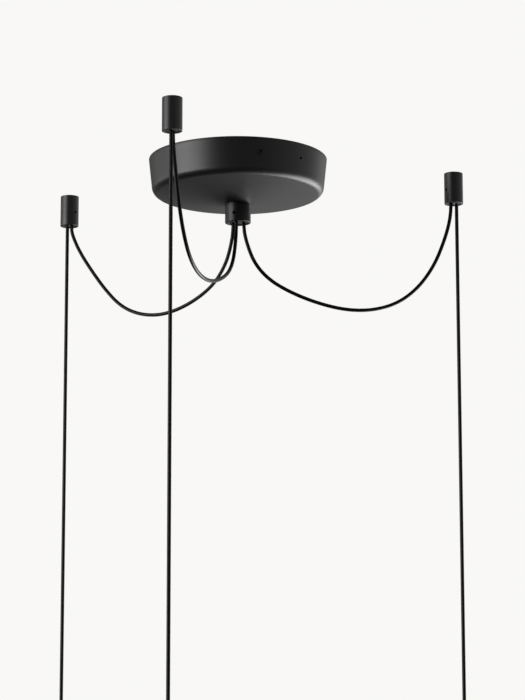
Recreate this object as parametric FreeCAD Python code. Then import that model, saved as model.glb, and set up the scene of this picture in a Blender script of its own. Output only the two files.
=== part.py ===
"""Ceiling pendant: one canopy, three cords swagged from its outlet to three ceiling anchors.

Millimetres.  The origin is on the ceiling plane at the middle of the canopy, +Z up, so the
whole lamp hangs below z = 0.  X runs to the right and Y away from the viewer.
"""
import FreeCAD
import Part
import math
import os
from FreeCAD import Vector, Rotation, Placement

# ------------------------------------------------------------------ driving dimensions
RUN_CLEARANCE = 0.3            # curved faces of pieces that pass or lie beside each other
FIT_CLEARANCE = 0.1            # radial play of turned pieces that fit in one another
FACE_GAP = 0.15                # flat faces that move on one another
TOUCH_GAP = 0.05               # faces that bear on one another
CUT_OVER = 1.0                 # how far a cutting tool runs past the face it cuts

CANOPY_RADIUS = 125.0          # rim, on the ceiling
CANOPY_DRAFT = 6.11            # degrees that the wall leans in from rim to foot
CANOPY_WALL_HEIGHT = 43.9      # from the ceiling to where the wall starts to round
CANOPY_EDGE_RADIUS = 6.6
CANOPY_SHEET = 1.0
UNDERSIDE_FALL = 8.6           # degrees, from the edge down to the outlet
UNDERSIDE_FLAT_MARGIN = 0.6    # how far the flat in the middle reaches past the outlet

OUTLET_RADIUS = 18.0
OUTLET_BOTTOM = -91.0
OUTLET_WALL = 2.5
OUTLET_TOP_PLATE = 4.0
OUTLET_LIP = 1.2               # lip height under the cord plate
OUTLET_LIP_WIDTH = 1.3
OUTLET_CHAMFER = 0.6
OUTLET_SCREW_COUNT = 3
OUTLET_SCREW_TURN = 60.0       # degrees from the set screw to the first of them
OUTLET_SET_SCREW_DROP = 11.2   # set screw axis above the outlet's lower edge
OUTLET_SET_SCREW_AZIMUTH = -106.0
OUTLET_SET_SCREW_DEPTH = 0.7   # how far its socket end lies below the outlet's face
INSERT_COLLAR_WALL = 1.6       # left between a cord hole and the collar's outside
INSERT_COLLAR_RISE = 2.5       # how far the cord plate's collar stands above the sheet

CORD_DIAMETER = 4.8
CORD_SHEATH = 0.25             # least thickness over the cores
CLIP_WALL = 1.4                # clip on each cord, behind the cord plate
CLIP_HEIGHT = 5.0
CLIP_SPLIT = 0.8

ANCHOR_RADIUS = 13.35
ANCHOR_HEIGHT = 44.75
ANCHOR_WALL = 2.0
ANCHOR_LIP = 1.0
ANCHOR_LIP_WIDTH = 1.2
ANCHOR_CHAMFER = 0.5
ANCHOR_GUIDE_THICKNESS = 3.0
ANCHOR_BASE_FLOOR = 4.0
ANCHOR_BASE_HEIGHT = 31.0
ANCHOR_BASE_WALL = 2.4
ANCHOR_SCREW_DROP = 25.0       # set screw axis below the ceiling
ANCHOR_SCREW_DEPTH = 0.4       # how far its socket end lies below the sleeve's face
ANCHOR_FIXING_HOLE = 4.5
PEG_RADIUS = 1.5
PEG_DROP = 18.0                # peg axis below the ceiling
PEG_END_PLAY = 0.5             # at each end of the peg

SET_SCREW_RADIUS = 2.0         # M4
SET_SCREW_SOCKET = 2.0         # hexagon across flats
SET_SCREW_BITE = 0.8           # depth of the groove that a set screw's point stands in

BRACKET_AZIMUTH = -75.3        # the bar points at the canopy's side screw
BRACKET_WIDTH = 25.0
BRACKET_THICKNESS = 2.0
BRACKET_BEND_RADIUS = 1.8
BRACKET_EAR_DROP = 28.0
CEILING_HOLE_SPACING = 140.0
CEILING_HOLE_RADIUS = 2.5
SUPPLY_HOLE_RADIUS = 7.0
SIDE_SCREW_DROP = 20.75
SIDE_SCREW_RADIUS = 2.0
SIDE_SCREW_HEAD_RADIUS = 3.5
SIDE_SCREW_HEAD_HEIGHT = 2.4
SIDE_SCREW_TAIL = 1.5          # shank past the nut
SIDE_NUT_FLATS = 7.0
SIDE_NUT_HEIGHT = 3.2
SPARE_HOLE_OFFSET = 30.6       # degrees round from the side screws
SPARE_HOLE_RADIUS = 1.7

BLOCK_NEAR_FACE = 34.0         # terminal block, measured along the bracket
BLOCK_LENGTH = 18.0
BLOCK_HEIGHT = 16.0
BLOCK_SIDE_WALL = 1.0          # both sides together, past the poles' pitch
BLOCK_EDGE_RADIUS = 1.0
POLE_PITCH = 12.0
POLE_COUNT = 3
CLAMP_WALL = 1.0
CLAMP_SUNK = 1.0               # its ends behind the block's faces
POLE_DROP = 12.0               # clamp axis below the ceiling
TERMINAL_SCREW_RADIUS = 1.4
TERMINAL_SCREW_INSET = 6.5     # from each end of the block
TERMINAL_SCREW_SUNK = 0.5      # its head below the block's face
TERMINAL_SCREW_SLOT = 0.5
FIXING_SCREW_RADIUS = 1.5
PAN_HEAD_RADIUS = 2.75
PAN_HEAD_HEIGHT = 1.8
PAN_HEAD_ROUND = 0.45          # edge radius over the head's height
PAN_SLOT_SHARE = 0.3           # slot width over the head's radius
PAN_SLOT_FLOOR = 0.55          # height of the slot's floor over the head's height
EARTH_SCREW_ALONG = 61.0
EARTH_SCREW_ACROSS = 4.0
EARTH_HEAD_RADIUS = 4.0
EARTH_HEAD_HEIGHT = 2.6
SHEATH_END = -46.0             # where each cord is stripped inside the canopy

NECK_LENGTH = 12.0             # between the two swing centres under an anchor
DROP_END = -795.0              # top of the lampholder's cord grip
GRIP_COLLAR_RADIUS = 7.0
GRIP_COLLAR_HEIGHT = 11.0
GRIP_SPIGOT_RADIUS = 5.0
GRIP_SPIGOT_LENGTH = 6.0
GRIP_TAPER = (2.0, 4.0)        # in and down, at the collar's top
HOLDER_CAP_HEIGHT = 34.0
HOLDER_CAP_WALL = 1.2
HOLDER_CAP_SHOULDER = 6.0
HOLDER_SKIRT_LENGTH = 7.0      # of the body, inside the cap
HOLDER_BODY_LENGTH = 31.0      # of the body, below the cap
HOLDER_BODY_WALL = 3.0
HOLDER_LEDGE = 1.6
HOLDER_LEDGE_DROP = 5.0        # below the foot of the cap
HOLDER_CHAMFER = 0.8
HOLDER_INSERT_HEIGHT = 15.0
HOLDER_INSERT_RIM = 3.0        # depth of the rim under the insert that carries the shell
LAMP_THREAD_RADIUS = 13.5
LAMP_THREAD_WALL = 0.8
LAMP_THREAD_GAP = 1.1          # air between the thread shell and the body
LAMP_THREAD_LENGTH = 15.0
CONTACT_RADIUS = 3.0
CONTACT_HEIGHT = 1.2
RING_FLANGE = 7.0              # how far the shade ring stands out from the body
RING_HEIGHT = 6.0
RING_FLANGE_HEIGHT = 2.2
RING_WALL = 2.0
RING_CHAMFER = 1.0
RING_DROP = 17.0               # below the foot of the cap

# anchors: name, distance of the anchor's axis from the middle, azimuth in degrees
ANCHORS = {
    "left": (323.2, 140.8),
    "front": (315.8, -105.1),
    "right": (316.9, 13.7),
}
# side of each anchor's set screw hole, azimuth in degrees
ANCHOR_SCREW_AZIMUTH = {"left": -47.0, "front": 74.9, "right": -147.0}

# cord routes below the outlet: distance out from the outlet's cord hole, height
SWAG_ROUTES = {
    "left": [(0, -96), (5, -122), (15, -148), (36, -170), (68, -187.5), (104, -199.5),
             (140, -204.5), (178, -196.5), (212, -179.5), (242, -151.5), (270, -118.5),
             (294, -87), (309.5, -59)],
    "front": [(0, -96), (4, -120), (15, -149), (37, -171), (70, -186.5), (108, -199.5),
              (150, -207.5), (192, -205), (228, -192), (256, -167), (276, -134),
              (290, -99), (302, -66)],
    "right": [(0, -95), (5, -119), (16, -147), (36, -169), (66, -185.5), (104, -199),
              (146, -207.5), (186, -206.5), (224, -194.5), (255, -170), (279, -136),
              (294, -100), (303, -70)],
}
# the span and the mouth height that the routes were drawn for; they stretch with both
SWAG_SPANS = {"left": 311.6, "front": 304.2, "right": 305.3}
SWAG_MOUTH = -43.75
ANCHOR_LEAD_IN = 2.0           # straight run of the cord below the anchor's guide
CORE_LAYERS = {"front": -27.0, "right": -21.5, "left": -14.5}   # height of each cord's cores
CORE_SEAT = {"front": 270.0, "right": 30.0, "left": 150.0}      # place in a clamp, degrees
CORE_GATHER = 10.0             # straight run of the cores in front of the block
CORE_ENTRY = 2.5               # how far the cores reach into the block

# ------------------------------------------------------------------ derived places
CORD_RADIUS = CORD_DIAMETER / 2
CORD_HOLE_RADIUS = CORD_RADIUS + RUN_CLEARANCE
CORD_HOLE_SPREAD = 2 * (PEG_RADIUS + FIT_CLEARANCE + CORD_RADIUS)   # two cords of an anchor
# three round cores that touch lie on a circle of 2 / sqrt(3) of their radius
CORE_RADIUS = (CORD_RADIUS - CORD_SHEATH - FIT_CLEARANCE) / (1 + 2 / math.sqrt(3))
CORE_BUNDLE_RADIUS = CORE_RADIUS * 2 / math.sqrt(3) + FIT_CLEARANCE
CORE_MIDDLE_DIP = 2 * CORE_RADIUS + RUN_CLEARANCE    # the middle core turns this much lower
CLAMP_BORE_RADIUS = CORE_BUNDLE_RADIUS + CORE_RADIUS + RUN_CLEARANCE
OUTLET_THROAT_RADIUS = OUTLET_RADIUS - 2 * (PAN_HEAD_RADIUS + FACE_GAP)
OUTLET_SCREW_CIRCLE = (OUTLET_RADIUS + OUTLET_THROAT_RADIUS) / 2
INSERT_COLLAR_RADIUS = OUTLET_THROAT_RADIUS - RUN_CLEARANCE
CORD_CIRCLE = INSERT_COLLAR_RADIUS - INSERT_COLLAR_WALL - CORD_HOLE_RADIUS
WALL_SLOPE = math.radians(CANOPY_DRAFT)
UNDERSIDE_ANGLE = math.radians(UNDERSIDE_FALL)
UNDERSIDE_FLAT_RADIUS = OUTLET_RADIUS + UNDERSIDE_FLAT_MARGIN


def wall_radius(height, inset=0.0):
    """Radius of the canopy's wall (or of its inner face) at a height."""
    return CANOPY_RADIUS + height * math.tan(WALL_SLOPE) - inset / math.cos(WALL_SLOPE)


EDGE_CENTRE = (wall_radius(-CANOPY_WALL_HEIGHT) - CANOPY_EDGE_RADIUS * math.cos(WALL_SLOPE),
               -CANOPY_WALL_HEIGHT + CANOPY_EDGE_RADIUS * math.sin(WALL_SLOPE))


def underside_height(radius, inset=0.0):
    """Height of the sloping underside (or of its inner face) at a distance from the axis."""
    reach = CANOPY_EDGE_RADIUS - inset
    foot = (EDGE_CENTRE[0] + reach * math.sin(UNDERSIDE_ANGLE),
            EDGE_CENTRE[1] - reach * math.cos(UNDERSIDE_ANGLE))
    return foot[1] - (foot[0] - radius) * math.tan(UNDERSIDE_ANGLE)


OUTLET_TOP = underside_height(UNDERSIDE_FLAT_RADIUS)
SHEET_TOP = OUTLET_TOP + CANOPY_SHEET
INSERT_BOTTOM = OUTLET_BOTTOM + OUTLET_LIP
INSERT_SHOULDER = OUTLET_TOP - OUTLET_TOP_PLATE - FACE_GAP
INSERT_TOP = SHEET_TOP + INSERT_COLLAR_RISE
OUTLET_SCREW_Z = OUTLET_BOTTOM + OUTLET_SET_SCREW_DROP
GUIDE_BOTTOM = -ANCHOR_HEIGHT + ANCHOR_LIP
PIVOT_TOP = GUIDE_BOTTOM - FACE_GAP - CORD_RADIUS
PIVOT_LOW = PIVOT_TOP - NECK_LENGTH
DROP_TOP = PIVOT_LOW - CORD_RADIUS - FACE_GAP
BLOCK_FOOT = -BRACKET_THICKNESS - BLOCK_HEIGHT
SIDE_SCREW_SEAT = wall_radius(SIDE_SCREW_HEAD_RADIUS - SIDE_SCREW_DROP) + TOUCH_GAP
# an ear's lower corners just clear the canopy's inner face
BRACKET_EAR_FACE = math.sqrt((wall_radius(-BRACKET_EAR_DROP, CANOPY_SHEET) - RUN_CLEARANCE) ** 2
                             - (BRACKET_WIDTH / 2) ** 2)
HOLDER_BORE = LAMP_THREAD_RADIUS + LAMP_THREAD_WALL + LAMP_THREAD_GAP + HOLDER_LEDGE
HOLDER_RADIUS = HOLDER_BORE + HOLDER_BODY_WALL
RING_OUTER_RADIUS = HOLDER_RADIUS + RING_FLANGE
CAP_TOP = DROP_END - GRIP_COLLAR_HEIGHT
CAP_FOOT = CAP_TOP - HOLDER_CAP_HEIGHT
HOLDER_FOOT = CAP_FOOT - HOLDER_BODY_LENGTH
HOLDER_THROAT = HOLDER_BORE - HOLDER_LEDGE
HOLDER_LEDGE_Z = CAP_FOOT - HOLDER_LEDGE_DROP
HOLDER_INSERT_TOP = HOLDER_LEDGE_Z + HOLDER_INSERT_HEIGHT
THREAD_TOP = HOLDER_LEDGE_Z - HOLDER_INSERT_RIM
ARC_SHARE = 0.45
DOWN = Vector(0, 0, -1)
UP = Vector(0, 0, 1)


# ------------------------------------------------------------------ small makers
def radial(azimuth):
    """Unit vector in plan at an azimuth in degrees."""
    turn = math.radians(azimuth)
    return Vector(math.cos(turn), math.sin(turn), 0)


def disc(radius, low, high, x=0.0, y=0.0):
    """Upright cylinder between two heights."""
    return Part.makeCylinder(radius, high - low, Vector(x, y, low), UP)


def tube(outer, inner, low, high, x=0.0, y=0.0):
    """Upright pipe between two heights."""
    return disc(outer, low, high, x, y).cut(disc(inner, low - CUT_OVER, high + CUT_OVER, x, y))


def straight(start, stop):
    return Part.LineSegment(start, stop).toShape()


def turned(profile, x=0.0, y=0.0):
    """Solid of revolution about the upright axis; profile is a closed list of (r, z)."""
    points = [Vector(r, 0, z) for r, z in profile]
    face = Part.Face(Part.makePolygon(points + [points[0]]))
    solid = face.revolve(Vector(0, 0, 0), UP, 360)
    solid.translate(Vector(x, y, 0))
    return solid


def hexagon(across_flats, start, direction, length):
    """Hexagonal bar from a start point along a direction."""
    corner = across_flats / math.sqrt(3)
    points = [Vector(corner * math.cos(math.radians(60 * i)),
                     corner * math.sin(math.radians(60 * i)), 0) for i in range(7)]
    bar = Part.Face(Part.makePolygon(points)).extrude(Vector(0, 0, length))
    bar.Placement = Placement(start, Rotation(UP, direction))
    return bar


def set_screw(axis_point, direction, tip, tail):
    """Headless screw from its point at radius tip to its socket end at radius tail."""
    length = tail - tip
    screw = Part.makeCylinder(SET_SCREW_RADIUS, length, axis_point + direction * tip, direction)
    socket = hexagon(SET_SCREW_SOCKET, axis_point + direction * (tail - length / 2),
                     direction, length)
    return screw.cut(socket)


def pan_screw(seat, direction, shank_radius, shank_length, head_radius, head_height):
    """Pan head screw: its head stands on the seat, its shank runs against the direction."""
    head = Part.makeCylinder(head_radius, head_height, seat, direction)
    rim = max(head.Edges, key=lambda e: (e.CenterOfMass - seat).dot(direction) + e.Length)
    head = head.makeFillet(head_height * PAN_HEAD_ROUND, [rim])
    shank = Part.makeCylinder(shank_radius, shank_length, seat - direction * shank_length,
                              direction)
    slot_width = head_radius * PAN_SLOT_SHARE
    slot = Part.makeBox(head_radius * 3, slot_width, head_height)
    slot.translate(Vector(-head_radius * 1.5, -slot_width / 2, 0))
    slot_floor = seat + direction * head_height * PAN_SLOT_FLOOR
    slot.Placement = Placement(slot_floor, Rotation(UP, direction)).multiply(slot.Placement)
    return head.fuse(shank).removeSplitter().cut(slot)


def arc_route(points, name, shares=None):
    """Straight runs joined by tangent arcs, as one wire, and its length.

    An arc reaches a share of the shorter run beside it away from its corner: ARC_SHARE, or
    what shares says for that corner's number.  The arcs' radii are printed.
    """
    edges = []
    length = 0.0
    start = points[0]
    radii = []
    for i in range(1, len(points) - 1):
        before = points[i] - points[i - 1]
        after = points[i + 1] - points[i]
        share = (shares or {}).get(i, ARC_SHARE)
        reach = share * min(before.Length, after.Length)
        turn = before.getAngle(after)
        enter = points[i] - before.normalize() * reach
        leave = points[i] + after.normalize() * reach
        radius = reach / math.tan(turn / 2)
        radii.append(radius)
        bulge = radius * (1 / math.cos(turn / 2) - 1)
        inward = (after - before).normalize()
        middle = points[i] + inward * bulge
        if (enter - start).Length > 1e-6:
            edges.append(straight(start, enter))
            length += (enter - start).Length
        edges.append(Part.Arc(enter, middle, leave).toShape())
        length += radius * turn
        start = leave
    edges.append(straight(start, points[-1]))
    length += (points[-1] - start).Length
    print(f"{name}: length {length:.1f}, arc radii", " ".join(f"{r:.0f}" for r in radii))
    return Part.Wire(edges), length


def round_tube(points, radius, name, shares=None):
    """Solid round cord along a route, with its volume compared with section times length."""
    wire, length = arc_route(points, name, shares)
    first = wire.Edges[0]
    heading = first.tangentAt(first.FirstParameter)
    section = Part.Wire(Part.makeCircle(radius, points[0], heading))
    solid = wire.makePipeShell([section], True, True)
    print(f"{name}: volume ratio {solid.Volume / (math.pi * radius ** 2 * length):.4f}")
    return solid


def on_bracket(along, across, height):
    """Point given along and across the bracket."""
    return radial(BRACKET_AZIMUTH) * along + radial(BRACKET_AZIMUTH + 90) * across + UP * height


def bracket_box(along, across, low, high):
    """Box between two stations along and two across the bracket."""
    box = Part.makeBox(along[1] - along[0], across[1] - across[0], high - low)
    box.translate(Vector(along[0], across[0], low))
    box.rotate(Vector(0, 0, 0), UP, BRACKET_AZIMUTH)
    return box


# ------------------------------------------------------------------ canopy
def canopy_face(inset):
    """Corners of the cup's profile from rim to throat, moved inwards from the outer face."""
    edge = CANOPY_EDGE_RADIUS - inset
    cx, cz = EDGE_CENTRE
    rim = Vector(wall_radius(0.0, inset), 0, 0)
    wall_foot = Vector(cx + edge * math.cos(WALL_SLOPE), 0, cz - edge * math.sin(WALL_SLOPE))
    mid = (UNDERSIDE_ANGLE + math.pi / 2 - WALL_SLOPE) / 2
    edge_mid = Vector(cx + edge * math.sin(mid), 0, cz - edge * math.cos(mid))
    floor_start = Vector(cx + edge * math.sin(UNDERSIDE_ANGLE), 0,
                         cz - edge * math.cos(UNDERSIDE_ANGLE))
    seat_height = OUTLET_TOP + inset
    rise = underside_height(UNDERSIDE_FLAT_RADIUS, inset) - seat_height
    flat = UNDERSIDE_FLAT_RADIUS - rise / math.tan(UNDERSIDE_ANGLE)
    floor_end = Vector(flat, 0, seat_height)
    centre = Vector(OUTLET_THROAT_RADIUS, 0, seat_height)
    return rim, wall_foot, edge_mid, floor_start, floor_end, centre


def canopy_shell():
    """Drawn cup with two screw holes and two spare holes in its wall."""
    rim, foot, mid, start, end, centre = canopy_face(0.0)
    rim_i, foot_i, mid_i, start_i, end_i, centre_i = canopy_face(CANOPY_SHEET)
    edges = [straight(rim, foot), Part.Arc(foot, mid, start).toShape(), straight(start, end),
             straight(end, centre), straight(centre, centre_i), straight(centre_i, end_i),
             straight(end_i, start_i), Part.Arc(start_i, mid_i, foot_i).toShape(),
             straight(foot_i, rim_i), straight(rim_i, rim)]
    shell = Part.Face(Part.Wire(edges)).revolve(Vector(0, 0, 0), UP, 360)
    drill = CANOPY_RADIUS - BRACKET_EAR_FACE + 2 * CANOPY_SHEET
    for side in (0, 180):
        for offset, radius in ((0.0, SIDE_SCREW_RADIUS + RUN_CLEARANCE),
                               (SPARE_HOLE_OFFSET, SPARE_HOLE_RADIUS)):
            out = radial(BRACKET_AZIMUTH + side + offset)
            start = out * (CANOPY_RADIUS - drill) - UP * SIDE_SCREW_DROP
            shell = shell.cut(Part.makeCylinder(radius, drill, start, out))
    for k in range(OUTLET_SCREW_COUNT):
        at = outlet_screw_place(k)
        shell = shell.cut(disc(FIXING_SCREW_RADIUS + RUN_CLEARANCE, OUTLET_TOP - CUT_OVER,
                               SHEET_TOP + CUT_OVER, at.x, at.y))
    return shell


def outlet_screw_place(k):
    turn = OUTLET_SET_SCREW_AZIMUTH + OUTLET_SCREW_TURN + 360 * k / OUTLET_SCREW_COUNT
    return radial(turn) * OUTLET_SCREW_CIRCLE


def outlet_boss():
    """Turned sleeve with a top plate, a lip below and a tapped hole in its side."""
    inner = OUTLET_RADIUS - OUTLET_WALL
    mouth = inner - OUTLET_LIP_WIDTH
    body = turned([(OUTLET_THROAT_RADIUS, OUTLET_TOP), (OUTLET_RADIUS, OUTLET_TOP),
                   (OUTLET_RADIUS, OUTLET_BOTTOM + OUTLET_CHAMFER),
                   (OUTLET_RADIUS - OUTLET_CHAMFER, OUTLET_BOTTOM),
                   (mouth, OUTLET_BOTTOM), (mouth, INSERT_BOTTOM),
                   (inner, INSERT_BOTTOM), (inner, OUTLET_TOP - OUTLET_TOP_PLATE),
                   (OUTLET_THROAT_RADIUS, OUTLET_TOP - OUTLET_TOP_PLATE)])
    out = radial(OUTLET_SET_SCREW_AZIMUTH)
    body = body.cut(Part.makeCylinder(SET_SCREW_RADIUS + FIT_CLEARANCE, OUTLET_RADIUS,
                                      UP * OUTLET_SCREW_Z + out * (inner / 2), out))
    for k in range(OUTLET_SCREW_COUNT):
        at = outlet_screw_place(k)
        body = body.cut(disc(FIXING_SCREW_RADIUS + FIT_CLEARANCE,
                             OUTLET_TOP - OUTLET_TOP_PLATE - CUT_OVER, OUTLET_TOP + CUT_OVER,
                             at.x, at.y))
    return body


def outlet_insert():
    """Nylon plate that the cords pass through, with a collar up through the sheet."""
    rim = OUTLET_RADIUS - OUTLET_WALL - FIT_CLEARANCE
    collar = INSERT_COLLAR_RADIUS
    groove = rim - SET_SCREW_BITE
    half = SET_SCREW_RADIUS + RUN_CLEARANCE
    plate = turned([(0, INSERT_BOTTOM), (rim, INSERT_BOTTOM), (rim, OUTLET_SCREW_Z - half),
                    (groove, OUTLET_SCREW_Z - half), (groove, OUTLET_SCREW_Z + half),
                    (rim, OUTLET_SCREW_Z + half), (rim, INSERT_SHOULDER),
                    (collar, INSERT_SHOULDER), (collar, INSERT_TOP), (0, INSERT_TOP)])
    for _, azimuth in ANCHORS.values():
        at = radial(azimuth) * CORD_CIRCLE
        plate = plate.cut(disc(CORD_HOLE_RADIUS, INSERT_BOTTOM - CUT_OVER,
                               INSERT_TOP + CUT_OVER, at.x, at.y))
    return plate


def outlet_set_screw():
    tip = OUTLET_RADIUS - OUTLET_WALL - FIT_CLEARANCE - SET_SCREW_BITE + TOUCH_GAP
    return set_screw(UP * OUTLET_SCREW_Z, radial(OUTLET_SET_SCREW_AZIMUTH), tip,
                     OUTLET_RADIUS - OUTLET_SET_SCREW_DEPTH)


def outlet_screws():
    screws = []
    for k in range(OUTLET_SCREW_COUNT):
        seat = outlet_screw_place(k) + UP * SHEET_TOP
        screws.append(pan_screw(seat, UP, FIXING_SCREW_RADIUS, CANOPY_SHEET + OUTLET_TOP_PLATE,
                                PAN_HEAD_RADIUS, PAN_HEAD_HEIGHT))
    return Part.makeCompound(screws)


def cord_stops():
    """A split clip pressed round each cord, which bears on the cord plate."""
    clips = []
    for _, azimuth in ANCHORS.values():
        at = radial(azimuth) * CORD_CIRCLE
        clip = tube(CORD_RADIUS + CLIP_WALL, CORD_RADIUS + TOUCH_GAP, INSERT_TOP,
                    INSERT_TOP + CLIP_HEIGHT, at.x, at.y)
        split = Part.makeBox(2 * CLIP_WALL, CLIP_SPLIT, CLIP_HEIGHT + 2 * CUT_OVER)
        split.translate(Vector(CORD_RADIUS - CLIP_WALL / 2, -CLIP_SPLIT / 2,
                               INSERT_TOP - CUT_OVER))
        split.rotate(Vector(0, 0, 0), UP, azimuth)
        split.translate(at)
        clips.append(clip.cut(split))
    return Part.makeCompound(clips)


# ------------------------------------------------------------------ ceiling bracket
def ceiling_bracket():
    """Flat bar on the ceiling with two ears turned down, slotted for the side screws."""
    inner_face = BRACKET_EAR_FACE - BRACKET_THICKNESS
    half = BRACKET_WIDTH / 2
    bar = bracket_box((-BRACKET_EAR_FACE, BRACKET_EAR_FACE), (-half, half), -BRACKET_THICKNESS, 0)
    for side in (-1, 1):
        span = sorted((side * inner_face, side * BRACKET_EAR_FACE))
        bar = bar.fuse(bracket_box(span, (-half, half), -BRACKET_EAR_DROP, 0))
    bar = bar.removeSplitter()
    corners = [e for e in bar.Edges if abs(e.Length - BRACKET_WIDTH) < 1e-3
               and abs(e.CenterOfMass.z) < 1e-3]
    bar = bar.makeFillet(BRACKET_BEND_RADIUS, corners)
    slot_half = SIDE_SCREW_RADIUS + RUN_CLEARANCE
    below = -BRACKET_THICKNESS - CUT_OVER
    for side in (-1, 1):
        span = sorted((side * (inner_face - CUT_OVER), side * (BRACKET_EAR_FACE + CUT_OVER)))
        out = radial(BRACKET_AZIMUTH) * side
        start = out * (inner_face - CUT_OVER) - UP * SIDE_SCREW_DROP
        bar = bar.cut(Part.makeCylinder(slot_half, BRACKET_THICKNESS + 2 * CUT_OVER, start, out))
        bar = bar.cut(bracket_box(span, (-slot_half, slot_half), -BRACKET_EAR_DROP - CUT_OVER,
                                  -SIDE_SCREW_DROP))
        at = on_bracket(side * CEILING_HOLE_SPACING / 2, 0, 0)
        bar = bar.cut(disc(CEILING_HOLE_RADIUS, below, CUT_OVER, at.x, at.y))
    bar = bar.cut(disc(SUPPLY_HOLE_RADIUS, below, CUT_OVER))
    for at, radius in bracket_tapped_holes():
        bar = bar.cut(disc(radius + FIT_CLEARANCE, below, CUT_OVER, at.x, at.y))
    return bar


def block_fixing_places():
    middle = BLOCK_NEAR_FACE + BLOCK_LENGTH / 2
    return [on_bracket(middle, side * POLE_PITCH / 2, 0) for side in (-1, 1)]


def bracket_tapped_holes():
    """Places and screw radii of the holes that the block and the earth screw use."""
    earth = on_bracket(EARTH_SCREW_ALONG, EARTH_SCREW_ACROSS, 0)
    block_holes = [(at, FIXING_SCREW_RADIUS) for at in block_fixing_places()]
    return block_holes + [(earth, SIDE_SCREW_RADIUS)]


def bracket_screws():
    """Two screws through the terminal block and the earth screw, all up into the bar."""
    screws = [pan_screw(at + UP * BLOCK_FOOT, DOWN, FIXING_SCREW_RADIUS,
                        BLOCK_HEIGHT + BRACKET_THICKNESS, PAN_HEAD_RADIUS, PAN_HEAD_HEIGHT)
              for at in block_fixing_places()]
    earth = on_bracket(EARTH_SCREW_ALONG, EARTH_SCREW_ACROSS, -BRACKET_THICKNESS)
    screws.append(pan_screw(earth, DOWN, SIDE_SCREW_RADIUS, BRACKET_THICKNESS,
                            EARTH_HEAD_RADIUS, EARTH_HEAD_HEIGHT))
    return Part.makeCompound(screws)


def side_screw(side):
    """Screw through the canopy's wall and the ear's slot, into its nut."""
    out = radial(BRACKET_AZIMUTH) * side
    seat = out * SIDE_SCREW_SEAT - UP * SIDE_SCREW_DROP
    nut_end = BRACKET_EAR_FACE - BRACKET_THICKNESS - FACE_GAP - SIDE_NUT_HEIGHT
    shank = SIDE_SCREW_SEAT - nut_end + SIDE_SCREW_TAIL
    return pan_screw(seat, out, SIDE_SCREW_RADIUS, shank, SIDE_SCREW_HEAD_RADIUS,
                     SIDE_SCREW_HEAD_HEIGHT)


def side_nuts():
    nuts = []
    for side in (-1, 1):
        out = radial(BRACKET_AZIMUTH) * side
        face = BRACKET_EAR_FACE - BRACKET_THICKNESS - FACE_GAP
        start = out * (face - SIDE_NUT_HEIGHT) - UP * SIDE_SCREW_DROP
        nut = hexagon(SIDE_NUT_FLATS, start, out, SIDE_NUT_HEIGHT)
        bore = Part.makeCylinder(SIDE_SCREW_RADIUS + FIT_CLEARANCE, SIDE_NUT_HEIGHT * 2,
                                 start - out * (SIDE_NUT_HEIGHT / 2), out)
        nuts.append(nut.cut(bore))
    return Part.makeCompound(nuts)


# ------------------------------------------------------------------ terminal block and cores
def pole_across(k):
    return (k - (POLE_COUNT - 1) / 2) * POLE_PITCH


def terminal_screw_places():
    ends = (BLOCK_NEAR_FACE + TERMINAL_SCREW_INSET,
            BLOCK_NEAR_FACE + BLOCK_LENGTH - TERMINAL_SCREW_INSET)
    return [(along, pole_across(k)) for k in range(POLE_COUNT) for along in ends]


def terminal_block():
    """Moulded block with a bore for each pole's clamp and holes for the screws."""
    half = (POLE_COUNT * POLE_PITCH + BLOCK_SIDE_WALL) / 2
    foot = BLOCK_FOOT
    block = bracket_box((BLOCK_NEAR_FACE, BLOCK_NEAR_FACE + BLOCK_LENGTH), (-half, half),
                        foot, -BRACKET_THICKNESS)
    lower = [e for e in block.Edges if abs(e.CenterOfMass.z - foot) < 1e-6]
    block = block.makeFillet(BLOCK_EDGE_RADIUS, lower)
    along = radial(BRACKET_AZIMUTH)
    for k in range(POLE_COUNT):
        start = on_bracket(BLOCK_NEAR_FACE - CUT_OVER, pole_across(k), -POLE_DROP)
        block = block.cut(Part.makeCylinder(CLAMP_BORE_RADIUS + CLAMP_WALL + FIT_CLEARANCE,
                                            BLOCK_LENGTH + 2 * CUT_OVER, start, along))
    for station, across in terminal_screw_places():
        at = on_bracket(station, across, 0)
        block = block.cut(disc(TERMINAL_SCREW_RADIUS + RUN_CLEARANCE, foot - CUT_OVER,
                               -POLE_DROP, at.x, at.y))
    for at in block_fixing_places():
        block = block.cut(disc(FIXING_SCREW_RADIUS + RUN_CLEARANCE, foot - CUT_OVER, 0,
                               at.x, at.y))
    return block


def terminal_clamps():
    """A brass tube in each pole's bore, cross drilled for its two screws."""
    along = radial(BRACKET_AZIMUTH)
    clamps = []
    for k in range(POLE_COUNT):
        face = on_bracket(BLOCK_NEAR_FACE, pole_across(k), -POLE_DROP)
        clamp = Part.makeCylinder(CLAMP_BORE_RADIUS + CLAMP_WALL, BLOCK_LENGTH - 2 * CLAMP_SUNK,
                                  face + along * CLAMP_SUNK, along)
        clamp = clamp.cut(Part.makeCylinder(CLAMP_BORE_RADIUS, BLOCK_LENGTH, face, along))
        for station, across in terminal_screw_places():
            if across == pole_across(k):
                at = on_bracket(station, across, 0)
                clamp = clamp.cut(disc(TERMINAL_SCREW_RADIUS + FIT_CLEARANCE, BLOCK_FOOT,
                                       -POLE_DROP, at.x, at.y))
        clamps.append(clamp)
    return Part.makeCompound(clamps)


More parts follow.
